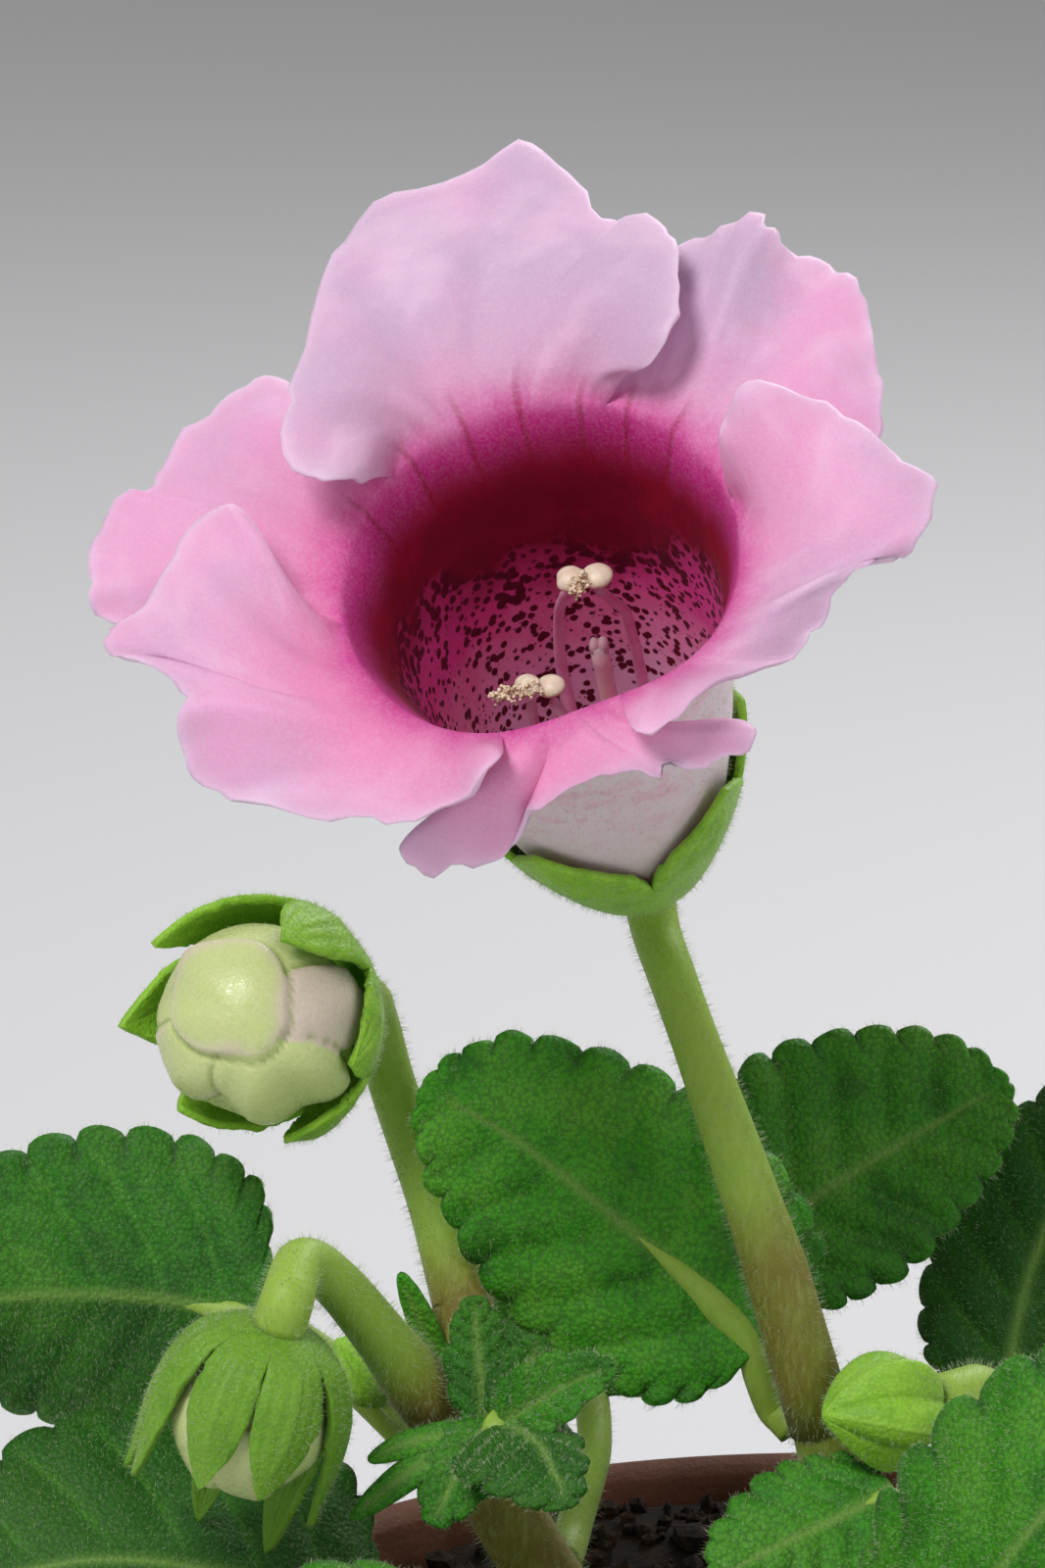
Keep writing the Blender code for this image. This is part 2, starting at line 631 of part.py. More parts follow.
def build_bud(name, frame, radius, length, petals, twist, colour_material):
    """A bud of folded petals: each overlaps the next along a seam that winds to the tip."""
    parts = 5
    rows = 9
    mesh = bmesh.new()
    rings = []
    for index in range(rows + 1):
        rise = index / rows
        lean = math.pi * rise
        height = -length * math.cos(lean)
        if index in (0, rows):
            rings.append([mesh.verts.new(frame.place(0.0, 0.0, height * 0.93))]
                         * (petals * parts + 1))
            continue
        ring = []
        for side in range(petals * parts):
            share = (side % parts) / parts
            turn = 360.0 * side / (petals * parts) + twist * rise ** 2
            swell = 0.86 + 0.15 * math.sin(math.pi * (0.12 + 0.8 * share)) - 0.05 * share
            pucker = 1.0 + 0.1 * math.sin(3.0 * lean) * math.sin(math.pi * share)
            reach = radius * math.sin(lean) ** 0.86 * swell * pucker
            ring.append(mesh.verts.new(frame.polar(turn, reach, height)))
        rings.append(ring + ring[:1])
    for lower, upper in zip(rings, rings[1:]):
        stitch(mesh, lower, upper)
    bmesh.ops.recalc_face_normals(mesh, faces=mesh.faces)
    return finish(from_bmesh(name, mesh), name, colour_material)


def build_green_bud(name, frame, radius, length, keels, colour_material):
    """A young bud still closed in its calyx, with a sharp keel on each sepal."""
    parts = 4
    rows = 9
    mesh = bmesh.new()
    rings = []
    for index in range(rows + 1):
        rise = index / rows
        if index in (0, rows):
            rings.append([mesh.verts.new(frame.place(0.0, 0.0, length * rise))]
                         * (keels * parts + 1))
            continue
        body = radius * math.sin(math.pi * rise ** 0.8) ** 0.75
        ring = []
        for side in range(keels * parts):
            share = (side % parts) / parts
            ridge = (1.0 - abs(2.0 * share - 1.0)) ** 1.4
            turn = 360.0 * side / (keels * parts) + 25.0 * rise
            ring.append(mesh.verts.new(frame.polar(turn, body * (0.8 + 0.3 * ridge),
                                                   length * rise)))
        rings.append(ring + ring[:1])
    for lower, upper in zip(rings, rings[1:]):
        stitch(mesh, lower, upper)
    bmesh.ops.recalc_face_normals(mesh, faces=mesh.faces)
    return finish(from_bmesh(name, mesh), name, colour_material)


CALYX_MERIDIAN = [(-52.6, 0.0), (-52.3, 2.4), (-50.5, 5.7), (-46.6, 8.0), (-40.6, 10.5),
                  (-35.0, 12.3), (-30.0, 13.9)]
FLOWER_SEPALS = [(15, 15, 0.84, 0.0), (78, 78, 0.84, 0.0), (138, 138, 0.84, 0.0),
                 (198, 198, 0.7, 0.0), (262, 246, 0.84, 0.0), (322, 336, 0.94, 0.0)]

BUD_1 = Frame((-56.4, 3.0, 185.2), (-0.72, -0.69, 0.05), (0.69, -0.72, 0.0))
BUD_1_RADIUS = 10.3
BUD_1_SEPALS = [(5, -18, 0.56, 1.0), (65, 52, 0.77, 0.0), (120, 163, 0.88, 0.2),
                (180, 196, 1.0, 0.0), (238, 235, 0.9, 0.2), (304, 292, 0.72, 1.3)]
BUD_1_MERIDIAN = [(-11.4, 0.0), (-11.2, 3.2), (-9.2, 7.6), (-5.0, 10.7), (0.0, 11.6),
                  (4.0, 11.6), (8.0, 11.8)]

BUD_2 = Frame((-56.6, -18.0, 152.6), (-0.30, 0.12, -0.95), (1.0, 0.0, -0.32))
BUD_2_RADIUS = 7.3
BUD_2_SEPALS = [(5, 0, 0.79, 0.0), (62, 78, 0.54, 0.0), (114, 100, 0.57, 0.0),
                (160, 155, 0.75, 1.0), (200, 178, 0.78, 1.4), (255, 265, 1.0, 0.0),
                (312, 312, 1.0, 0.0)]
BUD_2_MERIDIAN = [(-9.5, 0.0), (-9.2, 3.0), (-7.2, 6.2), (-3.2, 8.2), (1.6, 8.7),
                  (6.6, 8.7), (11.6, 8.9), (16.4, 9.4)]

BUD_3 = Frame((8.6, -6.0, 150.0), (-0.86, -0.5, 0.06), (0.0, 0.0, 1.0))
BUD_4 = Frame((-43.2, 4.6, 146.8), (-0.66, -0.1, 0.74), (0.0, 1.0, 0.0))


def build_blooms():
    """The open flower and its four buds, each in its own calyx."""
    green = material("calyx_green", (0.20, 0.42, 0.07), 0.6)
    cream = material("bud_cream", (0.72, 0.78, 0.52), 0.45)
    build_corolla()
    build_calyx("calyx", FLOWER, CALYX_MERIDIAN, FLOWER_SEPALS, 0.33, green, 0.95)
    build_stamens()
    build_anthers("anthers_upper", ANTHERS["upper"])
    build_anthers("anthers_lower", ANTHERS["lower"])
    build_pistil()
    build_bud("bud_1_petals", BUD_1, BUD_1_RADIUS, 9.8, 6, 110.0, cream)
    build_calyx("bud_1_calyx", BUD_1, BUD_1_MERIDIAN, BUD_1_SEPALS, 0.4, green, 0.9)
    build_bud("bud_2_petals", BUD_2, BUD_2_RADIUS, 7.6, 6, 90.0, cream)
    build_calyx("bud_2_calyx", BUD_2, BUD_2_MERIDIAN, BUD_2_SEPALS, 0.36, green, 0.92)
    build_green_bud("bud_3", BUD_3, 5.6, 13.2, 5, green)
    build_green_bud("bud_4", BUD_4, 3.2, 8.6, 5, green)


# ---------------------------------------------------------------- shoots and their stalks

SHOOT_RADIUS = 3.5
SEATING = 0.6               # free space under a shoot's foot
SHOOT_RIGHT = [(3.0, 2.0, TUBER_TOP + SEATING), (3.0, 2.0, 113.0), (2.4, 1.6, 120.0),
               (1.0, 0.0, 134.0), (-2.0, -2.4, 146.0), (-2.6, -3.0, 149.0)]
SHOOT_LEFT = [(-17.0, 2.0, TUBER_TOP + SEATING), (-17.4, 2.0, 112.0), (-22.6, 2.2, 120.0),
              (-30.6, 2.4, 132.5), (-37.0, 2.0, 145.0), (-38.2, 1.6, 148.0)]
FLOWER_STALK = [(-2.4, -2.6, 146.4), (-7.1, -3.4, 162.8), (-12.3, -2.2, 177.7),
                (-16.4, 2.2, 188.4), (-18.2, 6.6, 192.6), (-18.8, 8.6, 195.2)]
BUD_1_STALK = [(-37.0, 2.2, 145.4), (-36.7, 5.6, 156.0), (-39.9, 9.4, 166.0), (-43.4, 12.6, 175.5),
               (-45.0, 14.4, 181.0)]
BUD_2_STALK = [(-37.6, 1.6, 146.4), (-39.9, -1.2, 148.6), (-44.3, -6.0, 156.4),
               (-48.6, -10.6, 163.4), (-51.6, -14.2, 166.4)]
BUD_4_STALK = [(-37.2, 2.2, 144.4), (-38.8, 3.4, 144.0), (-40.4, 4.2, 144.2)]
BUD_3_STALK = [(2.0, 1.0, 126.0), (9.4, 3.4, 137.0), (13.2, 0.6, 147.2), (12.2, -3.2, 150.2)]


def stalk_end(frame, bottom):
    """The last two points of a stalk that meets a calyx square on its axis."""
    return [frame.place(0.0, 0.0, bottom - 2.6), frame.place(0.0, 0.0, bottom - GAP)]


def seat(shoot, height, towards, radius):
    """Where a petiole of a given radius starts, square and close to its shoot's bark."""
    spine = Spine(shoot)
    amount = 0.5
    for _ in range(20):
        amount = min(max(amount + (height - spine.at(amount).z) / spine.length, 0.0), 1.0)
    middle = spine.at(amount)
    outward = (Vector(towards) - middle).normalized()
    lean = abs(outward.dot(spine.heading(amount)))
    square = math.sqrt(1.0 - lean * lean)
    start = middle + outward * (GAP + (SHOOT_RADIUS + radius * lean) / square)
    return [start, start + outward * 1.6]


def build_shoots():
    """Each shoot with the stalks of its flower and buds, grown as one piece."""
    green = material("stem_green", (0.30, 0.40, 0.10), 0.6)
    right = stalk("shoot", SHOOT_RIGHT, [SHOOT_RADIUS] * 4 + [2.8], 5, 2)
    flower = stalk("flower_stalk", FLOWER_STALK + stalk_end(FLOWER, -53.0),
                   [3.4, 3.1, 2.9, 2.5, 2.3, 2.3, 2.4, 2.8], 14, 2)
    bud = stalk("bud_stalk", BUD_3_STALK + stalk_end(BUD_3, 0.0)[1:], [2.2, 2.2, 2.4, 2.6, 2.6],
                7, 2)
    finish(fuse("shoot_right", [right, flower, bud]), "shoot_right", green)
    left = stalk("shoot", SHOOT_LEFT, [SHOOT_RADIUS] * 4 + [2.8], 5, 2)
    first = stalk("bud_stalk", BUD_1_STALK + stalk_end(BUD_1, -11.8),
                  [3.1, 2.8, 2.5, 2.4, 2.3, 2.3, 2.6], 12, 2)
    second = stalk("bud_stalk", BUD_2_STALK + stalk_end(BUD_2, -10.0),
                   [3.3, 3.1, 2.7, 2.5, 2.4, 2.4, 2.6], 12, 2)
    third = stalk("bud_stalk", BUD_4_STALK + stalk_end(BUD_4, 0.0)[1:], [1.5, 1.6, 1.8], 3, 1)
    bract = NODE_BRACT.blade("bract")
    finish(fuse("shoot_left", [left, first, second, third, bract]), "shoot_left", green)


# ---------------------------------------------------------------- leaves

def blade_width(along):
    """Share of the full half-width at a fraction of the leaf's length."""
    inside = min(max(along, 0.0), 1.0)
    return inside ** 0.30 * (1.0 - inside) ** 0.55 / 0.576


class Leaf:
    """A crenate blade on a spine, with its own width, folds and curl on each side."""

    def __init__(self, spine, facing, right, left, teeth, bite, folds=(0.0, 0.0), curl=0.0,
                 petiole=None, seat=None, rows=10, quilt=QUILT):
        self.spine = Spine(spine)
        self.facing = Vector(facing).normalized()
        self.right = right
        self.left = left
        self.teeth = teeth
        self.bite = bite
        self.folds = folds
        self.curl = curl
        self.petiole = petiole
        self.seat = seat
        self.rows = rows
        self.quilt = quilt

    def half_width(self, side):
        return self.right if side > 0.0 else self.left

    def place(self, along, across):
        """The point of the blade at a fraction of its length and a distance from its rib."""
        heading = self.spine.heading(along)
        inside = min(max(along, 0.0), 1.0)
        side = heading.cross(self.facing).normalized()
        up = side.cross(heading).normalized()
        width = self.half_width(across)
        share = abs(across) / width
        fold = math.radians(self.folds[0] if across > 0.0 else self.folds[1])
        wave = math.cos(math.tau * VEINS * (inside - VEIN_SLANT * share))
        bulge = self.quilt * wave * min(1.0, 4.0 * share * (1.1 - share)) if share < 1.1 else 0.0
        lift = abs(across) * math.sin(fold) + self.curl * width * share ** 2 + bulge
        return self.spine.at(along) + side * across * math.cos(fold) + up * lift

    def margin(self, side):
        """Points of one margin from base to tip, three to a rounded tooth."""
        width = self.half_width(side)
        length = self.spine.length
        points = []
        for tooth in range(self.teeth):
            for share, rise in ((0.0, 0.0), (0.28, 0.8), (0.7, 1.0)):
                way = (tooth + share) / self.teeth
                along = 0.5 - 0.5 * math.cos(math.pi * way)
                ahead = 0.5 - 0.5 * math.cos(math.pi * min(way + 0.01, 1.0))
                behind = 0.5 - 0.5 * math.cos(math.pi * max(way - 0.01, 0.0))
                run = (ahead - behind) * length
                climb = (blade_width(ahead) - blade_width(behind)) * width
                size = math.hypot(run, climb)
                out = self.bite * (rise - 0.5)
                points.append((along * length - out * climb / size,
                               side * (blade_width(along) * width + out * run / size)))
        return points

    def blade(self, name):
        """The blade's solid: its flat outline is filled with triangles and then curved."""
        length = self.spine.length
        right = self.margin(1.0)
        left = self.margin(-1.0)
        outline = right + [(length, 0.0)] + left[:0:-1]
        inner = []
        for row in range(1, self.rows):
            for share in (0.0, 0.5, -0.5):
                along = row / self.rows + VEIN_SLANT * abs(share)
                across = share * self.half_width(share) * blade_width(along)
                if along < 0.95 and (share == 0.0 or abs(across) > 0.8):
                    inner.append((along * length, across))
        points = [Vector(point) for point in outline + inner]
        edges = [(index, (index + 1) % len(outline)) for index in range(len(outline))]
        flat, _, faces = geometry.delaunay_2d_cdt(points, edges, [], 1, 0.0001)[:3]
        mesh = bmesh.new()
        corners = [mesh.verts.new(self.place(point.x / length, point.y)) for point in flat]
        for face in faces:
            mesh.faces.new([corners[index] for index in face])
        return shell(name, mesh, BLADE)

    def solid(self, name):
        """The blade fused to its petiole, which runs on below as the start of the midrib."""
        items = [self.blade(name)]
        if self.petiole:
            ribs = []
            for along, depth in ((0.02, 1.0), (0.12, 0.6), (0.24, 0.5)):
                heading = self.spine.heading(along)
                side = heading.cross(self.facing).normalized()
                ribs.append(self.spine.at(along) - side.cross(heading).normalized() * depth)
            points = [Vector(point) for point in self.petiole]
            thick = 0.105 * (self.right + self.left) ** 0.85
            path = seat(*self.seat, points[0], thick) + points + ribs
            thin = len(path) - 4
            radii = [thick] * 2 + [0.92 * thick] * thin + [0.6 * thick, 0.4]
            items.append(stalk("petiole", path, radii, 6, 1))
        return fuse(name, items) if len(items) > 1 else items[0]


LEAVES = {
    "leaf_centre": Leaf(
        [(-8.6, 1.4, 153.0), (-15.0, 4.0, 159.0), (-23.4, 5.0, 166.0), (-32.0, 4.0, 173.2),
         (-40.2, 1.2, 179.0)],
        (0.15, -0.9, 0.3), 14.4, 13.2, 14, 1.1, folds=(2.0, -8.0), curl=-0.12,
        petiole=[(-6.9, 2.9, 146.6), (-8.2, 2.4, 149.8)],
        seat=(SHOOT_RIGHT, 140.5)),
    "leaf_back_right": Leaf(
        [(-10.6, 13.0, 159.0), (-3.0, 16.6, 163.0), (6.0, 19.4, 168.0), (16.2, 21.0, 173.6)],
        (0.1, -0.85, 0.5), 10.6, 14.6, 13, 1.1, folds=(6.0, 4.0), curl=-0.1,
        petiole=[(0.6, 7.6, 145.0), (-6.4, 11.2, 152.6)],
        seat=(SHOOT_RIGHT, 140.0)),
    "leaf_far_right": Leaf(
        [(16.2, 14.0, 144.0), (18.4, 19.0, 153.6), (22.6, 23.4, 163.0), (29.4, 27.0, 173.0)],
        (-0.25, -0.9, 0.25), 10.6, 10.6, 13, 0.9, folds=(8.0, -4.0), curl=-0.12,
        petiole=[(8.4, 11.0, 130.0), (14.2, 13.6, 138.0)],
        seat=(SHOOT_RIGHT, 122.0)),
    "leaf_front_right": Leaf(
        [(2.4, -30.0, 126.0), (9.0, -37.0, 139.0), (18.0, -42.0, 153.5), (31.0, -45.0, 168.5)],
        (-0.35, -0.75, 0.55), 16.0, 16.5, 11, 1.9, folds=(0.0, -6.0), curl=-0.12,
        petiole=[(2.0, -12.0, 118.2), (2.0, -22.0, 120.6)],
        seat=(SHOOT_RIGHT, 117.0)),
    "leaf_low_right": Leaf(
        [(4.0, -11.0, 143.0), (-1.6, -15.0, 141.4), (-7.0, -18.4, 140.0), (-12.8, -22.0, 138.0)],
        (-0.2, -0.75, 0.62), 7.6, 7.8, 9, 0.9, folds=(0.0, -12.0), curl=-0.1,
        petiole=[(2.0, -7.4, 138.6), (4.4, -9.0, 141.0)],
        seat=(SHOOT_RIGHT, 136.5)),
    "leaf_left": Leaf(
        [(-56.6, 8.0, 154.0), (-68.0, 10.0, 155.4), (-80.0, 9.6, 155.6), (-92.0, 7.0, 154.4)],
        (0.0, -0.93, 0.36), 16.0, 16.4, 14, 1.2, folds=(6.0, -42.0), curl=-0.08,
        petiole=[(-42.0, 10.6, 141.0), (-50.0, 10.2, 149.0)],
        seat=(SHOOT_LEFT, 135.0)),
    "leaf_low_left": Leaf(
        [(-46.0, -6.6, 128.4), (-58.0, -9.0, 133.6), (-72.0, -11.4, 136.0),
         (-87.0, -13.4, 133.0)],
        (0.1, -0.62, 0.78), 20.0, 16.0, 13, 1.2, folds=(0.0, -4.0), curl=-0.1,
        petiole=[(-31.0, -2.0, 121.0), (-39.0, -4.6, 125.0)],
        seat=(SHOOT_LEFT, 118.0)),
    "leaf_low_front": Leaf(
        [(-32.0, -20.0, 131.0), (-41.0, -27.0, 136.0), (-49.0, -34.0, 138.4),
         (-57.0, -42.0, 137.6)],
        (0.1, -0.45, 0.9), 8.8, 8.8, 9, 0.9, curl=-0.14,
        petiole=[(-27.6, -8.0, 125.0), (-30.4, -15.0, 128.6)],
        seat=(SHOOT_LEFT, 123.0)),
    "leaf_front": Leaf(
        [(-16.0, -24.0, 130.0), (-14.6, -38.0, 137.0), (-12.0, -54.0, 136.6),
         (-8.6, -70.0, 129.6)],
        (0.0, -0.2, 1.0), 16.0, 16.0, 12, 1.3, folds=(-6.0, -6.0), curl=-0.2,
        petiole=[(-17.6, -8.0, 117.0), (-16.8, -16.0, 123.0)],
        seat=(SHOOT_LEFT, 113.5), rows=8),
    "leaf_back_left": Leaf(
        [(-24.0, 24.0, 141.0), (-25.0, 34.0, 150.0), (-25.6, 45.0, 158.0), (-25.0, 57.0, 163.0)],
        (0.1, -0.4, 0.9), 14.6, 14.6, 12, 1.1, folds=(8.0, 8.0), curl=-0.12,
        petiole=[(-26.0, 11.0, 131.6), (-24.0, 18.0, 136.6)],
        seat=(SHOOT_LEFT, 128.0), rows=8),
}

# The side shoot at the left node: its stub, five young leaves and two bracts.
SIDE_STUB = [(-34.0, -5.2, 145.6), (-32.6, -8.2, 148.6)]
NODE_BRACT = Leaf([(-38.0, 2.2, 146.6), (-40.0, 2.0, 153.4), (-42.6, 0.8, 160.4)],
                  (-0.3, -0.9, 0.2), 1.5, 1.4, 2, 0.1, rows=4, quilt=0.0)
YOUNG_LEAVES = [
    Leaf([(-34.4, -6.0, 148.4), (-35.2, -4.6, 154.0), (-35.6, -4.0, 159.6)],
         (0.1, -0.95, 0.2), 3.2, 3.0, 5, 0.55, curl=-0.1, rows=4, quilt=0.0),
    Leaf([(-33.0, -6.6, 148.8), (-30.8, -5.6, 152.6), (-29.4, -5.0, 156.0)],
         (0.1, -0.95, 0.2), 2.9, 2.6, 4, 0.5, curl=-0.1, rows=3, quilt=0.0),
    Leaf([(-32.8, -7.8, 148.6), (-27.4, -11.0, 153.0), (-22.8, -12.6, 155.6)],
         (0.4, -0.7, 0.6), 3.6, 3.6, 6, 0.7, folds=(18.0, 18.0), rows=4, quilt=0.0),
    Leaf([(-32.8, -7.6, 148.4), (-29.4, -14.6, 148.4), (-26.8, -20.0, 144.6)],
         (0.0, -0.45, 0.9), 7.6, 7.6, 7, 0.8, curl=-0.18, rows=6, quilt=0.0),
    Leaf([(-33.8, -6.8, 148.0), (-37.0, -10.6, 144.6), (-39.4, -13.0, 140.4)],
         (-0.1, -0.85, 0.5), 3.6, 3.6, 5, 0.6, curl=-0.1, rows=4, quilt=0.0),
    Leaf([(-35.0, -6.0, 147.2), (-41.0, -8.6, 147.0), (-45.4, -9.6, 145.6)],
         (0.0, -0.8, 0.6), 1.3, 1.3, 2, 0.1, rows=4, quilt=0.0),
    Leaf([(-35.0, -6.8, 147.0), (-41.4, -10.2, 144.6), (-47.0, -12.0, 140.6)],
         (0.0, -0.8, 0.6), 1.5, 1.5, 2, 0.1, rows=4, quilt=0.0),
]


def build_leaves():
    """The large leaves, each with its petiole, and the leafy side shoot."""
    green = material("leaf_green", (0.06, 0.25, 0.04), 0.6)
    for name, leaf in LEAVES.items():
        finish(leaf.solid(name), name, green)
    start = seat(SHOOT_LEFT, 141.5, SIDE_STUB[0], 1.9)
    stub = stalk("stub", start + [Vector(point) for point in SIDE_STUB], [1.9, 2.2, 1.8], 3, 1)
    items = [stub] + [leaf.blade("young_leaf") for leaf in YOUNG_LEAVES]
    finish(fuse("side_shoot", items), "side_shoot", green)


def main():
    clear_scene()
    build_pot()
    build_tuber()
    build_soil()
    build_shoots()
    build_blooms()
    build_leaves()


main()
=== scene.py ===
"""A potted gloxinia in full detail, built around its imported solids.

The formulas use millimetres and degrees; MM turns lengths into Blender's metres. The pot's
axis is X = Y = 0, its underside lies on Z = 0, and the open flower looks towards -Y.
"""

import math
from dataclasses import dataclass
from functools import cache

import bmesh
import bpy
import numpy as np
from bpy.props import FloatProperty, FloatVectorProperty, IntProperty, PointerProperty
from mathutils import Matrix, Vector
from mathutils.bvhtree import BVHTree


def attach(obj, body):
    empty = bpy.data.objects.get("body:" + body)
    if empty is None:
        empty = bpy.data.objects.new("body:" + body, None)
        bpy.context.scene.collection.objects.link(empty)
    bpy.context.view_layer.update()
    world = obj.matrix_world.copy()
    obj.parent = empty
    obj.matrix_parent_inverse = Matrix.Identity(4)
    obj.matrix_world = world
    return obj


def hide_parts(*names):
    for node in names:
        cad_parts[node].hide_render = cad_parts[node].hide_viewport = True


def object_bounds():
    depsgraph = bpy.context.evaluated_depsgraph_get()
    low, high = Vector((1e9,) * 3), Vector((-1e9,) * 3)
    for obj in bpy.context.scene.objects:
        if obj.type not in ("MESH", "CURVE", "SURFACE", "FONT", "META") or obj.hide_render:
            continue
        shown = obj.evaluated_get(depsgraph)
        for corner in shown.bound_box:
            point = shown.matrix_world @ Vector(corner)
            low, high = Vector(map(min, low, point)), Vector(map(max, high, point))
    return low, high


bl_info = {
    "name": "Potted Gloxinia",
    "version": (1, 0, 0),
    "blender": (4, 5, 0),
    "location": "3D View > Sidebar > Gloxinia",
    "description": "Builds a flowering gloxinia with hairy leaves and buds in a clay pot",
    "category": "Add Mesh",
}

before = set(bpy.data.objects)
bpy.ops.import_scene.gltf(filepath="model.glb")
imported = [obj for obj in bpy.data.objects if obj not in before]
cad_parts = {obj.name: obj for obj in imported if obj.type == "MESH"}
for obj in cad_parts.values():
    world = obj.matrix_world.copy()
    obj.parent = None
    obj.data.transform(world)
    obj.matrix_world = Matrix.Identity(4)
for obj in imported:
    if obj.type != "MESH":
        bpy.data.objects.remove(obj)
SOLID_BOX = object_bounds()

MM = 0.001
BODY = "root"


# ---------------------------------------------------------------- curves and places

def unit(vectors):
    return vectors / np.maximum(np.linalg.norm(vectors, axis=-1, keepdims=True), 1e-9)


def blend(start, end, amount):
    return start + (end - start) * amount


def ease(value, low, high):
    """A smooth step from 0 at low to 1 at high."""
    share = np.clip((value - low) / (high - low), 0, 1)
    return share * share * (3 - 2 * share)


def hump(away, width):
    """A smooth hump: 1 at 0, and next to nothing two widths away."""
    return np.exp(-(away / width) ** 2)


def ripple(amount, seed, waves, first=1):
    """A smooth irregular wave between about -1 and 1, of several frequencies."""
    rng = np.random.default_rng(seed)
    total = np.zeros_like(amount)
    for number in range(waves):
        turns = first * (1 + number * 0.73)
        total += np.sin(math.tau * (turns * amount + rng.random())) / (1 + 0.45 * number)
    return total / math.sqrt(waves)


def curve(points, amount):
    """A smooth curve through points, read from 0 at the first to 1 at the last."""
    points = np.asarray(points, float)
    last = len(points) - 1
    place = np.clip(amount, 0, 1) * last
    first = np.minimum(place.astype(int), last - 1)
    step = (place - first)[..., None]
    before = points[np.maximum(first - 1, 0)]
    start = points[first]
    end = points[first + 1]
    after = points[np.minimum(first + 2, last)]
    return 0.5 * (2 * start + (end - before) * step
                  + (2 * before - 5 * start + 4 * end - after) * step ** 2
                  + (3 * start - before - 3 * end + after) * step ** 3)


class Spine:
    """A smooth curve through points, read by the fraction of its length."""

    def __init__(self, points, samples=240):
        self.points = curve(points, np.linspace(0, 1, samples + 1))
        steps = np.linalg.norm(np.diff(self.points, axis=0), axis=1)
        self.marks = np.concatenate(([0], np.cumsum(steps)))
        self.length = self.marks[-1]
        self.start_heading = unit(self.points[1] - self.points[0])
        self.end_heading = unit(self.points[-1] - self.points[-2])

    def at(self, amount):
        reach = np.asarray(amount, float) * self.length
        inside = np.stack([np.interp(reach, self.marks, self.points[:, axis])
                           for axis in range(3)], axis=-1)
        short = np.minimum(reach, 0)[..., None] * self.start_heading
        beyond = np.maximum(reach - self.length, 0)[..., None] * self.end_heading
        return inside + short + beyond

    def heading(self, amount):
        near = np.clip(amount, 0.02, 0.98)
        return unit(self.at(near + 0.02) - self.at(near - 0.02))


class Place:
    """A place with an axis, and with angles about it counted from its side vector."""

    def __init__(self, origin, axis, side):
        self.origin = np.array(origin, float)
        self.axis = unit(np.array(axis, float))
        side = np.array(side, float)
        self.side = unit(side - side.dot(self.axis) * self.axis)
        self.up = np.cross(self.axis, self.side)

    def at(self, across, along, height):
        across, along, height = np.broadcast_arrays(across, along, height)
        return (self.origin + across[..., None] * self.side + along[..., None] * self.up
                + height[..., None] * self.axis)

    def polar(self, angle, radius, height):
        turn = np.radians(angle)
        return self.at(radius * np.cos(turn), radius * np.sin(turn), height)

    def path(self, points):
        """A list of points across, along and up from the place."""
        return self.at(*np.array(points).T)


# ---------------------------------------------------------------- meshes

DEPTH_UNIT = 50             # millimetres of depth in one unit of a UV map


def read(items, name, width, kind=np.float32):
    """One value of each mesh element as an array with a row for each element."""
    values = np.empty(len(items) * width, kind)
    items.foreach_get(name, values)
    return values.reshape(-1, width)


def place_vertices(data, points):
    data.vertices.foreach_set("co", (points * MM).astype(np.float32).ravel())


def from_bmesh(name, mesh):
    """Mesh data from a bmesh, which ends here."""
    data = bpy.data.meshes.new(name)
    mesh.to_mesh(data)
    mesh.free()
    return data


def add_object(name, data):
    item = bpy.data.objects.new(name, data)
    bpy.context.scene.collection.objects.link(item)
    return item


def settle(item):
    """Replace an object's mesh by the one that its modifiers make."""
    view = bpy.context.evaluated_depsgraph_get()
    data = bpy.data.meshes.new_from_object(item.evaluated_get(view))
    old = item.data
    item.modifiers.clear()
    item.data = data
    bpy.data.meshes.remove(old)
    return item


def dress(item, *finishes):
    """Give an object its finishes by their names."""
    item.data.materials.clear()
    for name in finishes:
        item.data.materials.append(finish_for(name).material)


def declare(item, slot, *nodes):
    """Let a piece ride on the plant and hide the solids that it stands for. The slot is not
    used.
    """
    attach(item, BODY)
    if nodes:
        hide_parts(*nodes)
    return item


@dataclass
class Patch:
    """A grid of faces that a formula shapes.

    The formula gets two arrays from 0 to 1 and gives a dictionary: points in millimetres,
    and if they are needed uv and named attributes.
    """
    columns: int
    rows: int
    shape: object


